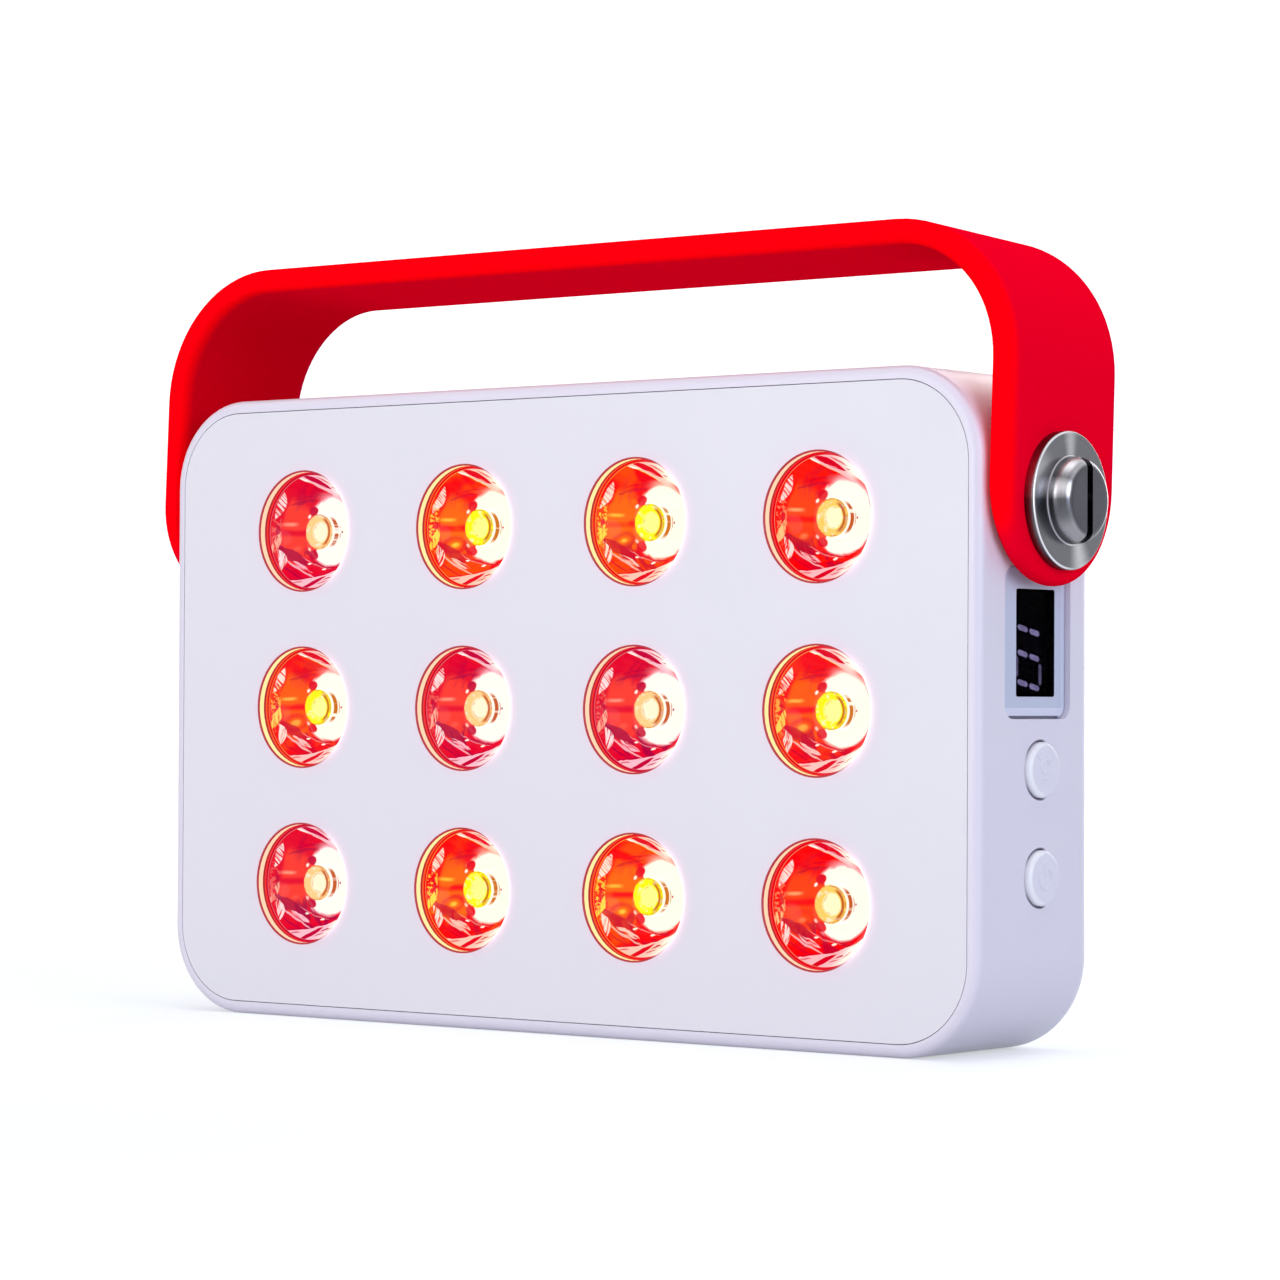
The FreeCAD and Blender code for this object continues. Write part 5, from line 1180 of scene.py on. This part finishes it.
class SAFELIGHT_OT_lenses(bpy.types.Operator):
    """The twelve lit lenses and their emitters"""
    bl_idname = "safelight.lenses"
    bl_label = "Lenses"

    def execute(self, context):
        _, sizes, _ = settings()
        make_lit_lens_group(sizes)
        # For each finish, how warm it is, and its colours in the order of LENS_TINTS
        crimson = lit_lens_finish(
            "lens_crimson", 0.1, (224, 6, 46), (250, 62, 50), (156, 0, 66), (255, 190, 204), (255, 176, 150),
            (252, 206, 134), (255, 246, 212), (192, 88, 36), (255, 252, 240))
        scarlet = lit_lens_finish(
            "lens_scarlet", 0.25, (250, 0, 10), (255, 66, 16), (182, 0, 46), (255, 186, 190), (255, 196, 130),
            (248, 206, 96), (255, 250, 200), (190, 84, 14), (255, 253, 236))
        orange = lit_lens_finish(
            "lens_orange", 0.5, (240, 16, 28), (255, 92, 18), (196, 4, 48), (255, 196, 190), (255, 214, 90),
            (255, 244, 20), (255, 252, 150), (198, 110, 10), (255, 255, 236))
        amber = lit_lens_finish(
            "lens_amber", 0.75, (250, 10, 16), (255, 104, 12), (200, 2, 44), (255, 200, 180), (255, 222, 70),
            (255, 248, 10), (255, 252, 140), (200, 112, 8), (255, 255, 234))
        outer_row = (crimson, amber, amber, scarlet)
        rows = (outer_row, (orange, crimson, crimson, orange), outer_row)
        profile = lens_profile(sizes)
        emitter = moulded("emitter_amber", linear(250, 196, 60), 0.3, 4000.0)
        for row, finishes in enumerate(rows, 1):
            for column, finish in enumerate(finishes, 1):
                node = "lens_%d_%d" % (row, column)
                place = middle(node)
                points, faces = turned(profile, 96, np.array([place.x, PANEL_BACK, place.z]), (0, 1, 0))
                piece = new_piece("lit_" + node, points, faces, finish, "case", "lens_clear")
                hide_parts(node)
                show(emitter, "emitter_%d_%d" % (row, column))
        return {"FINISHED"}


class SAFELIGHT_OT_controls(bpy.types.Operator):
    """Buttons, display and window"""
    bl_idname = "safelight.controls"
    bl_label = "Controls"

    def execute(self, context):
        colours, sizes, _ = settings()
        cap = moulded("button_satin", colours.button, 0.3, relief=0.008, paint=button_paint,
                      Coat_Weight=0.2, Coat_Roughness=0.2)
        for kind in ("mode", "power"):
            node = kind + "_button"
            place = middle(node)
            points, faces = turned(button_profile(node), 160, np.array([0.0, place.y, place.z]), (1, 0, 0),
                                   cap_relief(kind, sizes.icon_height))
            piece = new_piece(kind + "_cap", points, faces, cap, kind + "_key", "button_white")
            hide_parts(node)
        show(moulded("surround_satin", colours.surround, 0.36, 2500.0, 0.01, 0.06, 0.02, surround_paint,
                     Coat_Weight=0.1, Coat_Roughness=0.3), "display_bezel")
        show(smoked_glass(), "display_window")
        show(moulded("module_black", linear(12, 11, 18), 0.7, 3000.0, Specular_IOR_Level=0.0),
             "display_module")
        points, faces, finish = digit_bars(sizes)
        dark = moulded("bars_dark", colours.bar_dark, 0.6, 3000.0, Specular_IOR_Level=0.0)
        bars = new_piece("digit_bars", points, faces, dark, "case", "digit_bars")
        bars.data.materials.append(lit_bar("bars_lit", colours.bar_lit, 1.0))
        bars.data.materials.append(lit_bar("crossbars_lit", colours.bar_lit, 0.4))
        bars.data.polygons.foreach_set("material_index", finish.astype(np.int32))
        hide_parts("display_digits")
        return {"FINISHED"}


class SAFELIGHT_OT_handle(bpy.types.Operator):
    """Handle and pivots"""
    bl_idname = "safelight.handle"
    bl_label = "Handle and pivots"

    def execute(self, context):
        colours, _, _ = settings()
        show(moulded("grip_silicone", colours.handle, 0.7, 1800.0, 0.012, 0.08, 0.04, grip_paint,
                     Specular_IOR_Level=0.0, Emission_Strength=1.0), "handle_grip")
        show(moulded("core_steel", linear(140, 140, 144), 0.35, 900.0, Metallic=1.0), "handle_core")
        show(moulded("bush_polymer", linear(214, 210, 200), 0.45), "handle_bush_left", "handle_bush_right")
        show(moulded("washer_polymer", linear(40, 40, 44), 0.5), "friction_washers")
        show(turned_metal("insert_brass", linear(196, 160, 92)), "pivot_inserts")
        steel = turned_metal("pivot_steel", colours.steel, painted_fans=1.0)
        for side in ("left", "right"):
            screw = new_piece("coin_screw_" + side, *slotted_screw(side), steel, "case", "pivot_steel", 30.0)
            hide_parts("pivot_screw_" + side)
        return {"FINISHED"}


class SAFELIGHT_OT_inside(bpy.types.Operator):
    """Finishes of the pieces inside the case"""
    bl_idname = "safelight.inside"
    bl_label = "Inside"

    def execute(self, context):
        show(moulded("board_white", linear(236, 236, 232), 0.35, 1200.0), "lamp_board")
        show(moulded("spreader_aluminium", linear(186, 188, 192), 0.38, 600.0, Metallic=1.0), "heat_spreader")
        show(moulded("board_green", linear(22, 92, 58), 0.3, 1200.0), "control_board")
        show(moulded("tray_black", linear(34, 34, 37), 0.5), "battery_tray", "battery_cover")
        show(moulded("cell_wrap", linear(150, 158, 170), 0.3, 500.0),
             "battery_cell_left", "battery_cell_right")
        show(moulded("lead_film", linear(190, 118, 40), 0.35, 900.0), "battery_lead", "lamp_lead")
        show(moulded("switch_black", linear(26, 26, 28), 0.45), "mode_switch", "power_switch")
        show(moulded("plunger_beige", linear(206, 190, 160), 0.4), "mode_plunger", "power_plunger")
        show(moulded("small_screw_steel", linear(150, 150, 154), 0.3, 1500.0, Metallic=1.0),
             "lamp_board_screws", "battery_tray_screws", "control_board_screws")
        return {"FINISHED"}


class SAFELIGHT_PT_panel(bpy.types.Panel):
    """Lists the steps that build the safelight"""
    bl_idname = "SAFELIGHT_PT_panel"
    bl_label = "Safelight"
    bl_space_type = "VIEW_3D"
    bl_region_type = "UI"
    bl_category = "Safelight"

    def draw(self, context):
        for operator in OPERATORS:
            self.layout.operator(operator.bl_idname)
        for group in settings():
            box = self.layout.box()
            for name in group.__annotations__:
                box.prop(group, name)


OPERATORS = (SAFELIGHT_OT_stage, SAFELIGHT_OT_case, SAFELIGHT_OT_lenses, SAFELIGHT_OT_controls,
             SAFELIGHT_OT_handle, SAFELIGHT_OT_inside)
CLASSES = (SafelightColours, SafelightSizes, SafelightStage, *OPERATORS, SAFELIGHT_PT_panel)


def register():
    for item in CLASSES:
        bpy.utils.register_class(item)
    bpy.types.Scene.safelight_colours = bpy.props.PointerProperty(type=SafelightColours)
    bpy.types.Scene.safelight_sizes = bpy.props.PointerProperty(type=SafelightSizes)
    bpy.types.Scene.safelight_stage = bpy.props.PointerProperty(type=SafelightStage)


def unregister():
    del bpy.types.Scene.safelight_stage
    del bpy.types.Scene.safelight_sizes
    del bpy.types.Scene.safelight_colours
    for item in reversed(CLASSES):
        bpy.utils.unregister_class(item)


def main():
    register()
    make_grain_group()
    make_turned_group()
    make_glow_group()
    bpy.ops.safelight.stage()
    bpy.ops.safelight.case()
    bpy.ops.safelight.lenses()
    bpy.ops.safelight.controls()
    bpy.ops.safelight.handle()
    bpy.ops.safelight.inside()


if __name__ == "__main__":
    main()
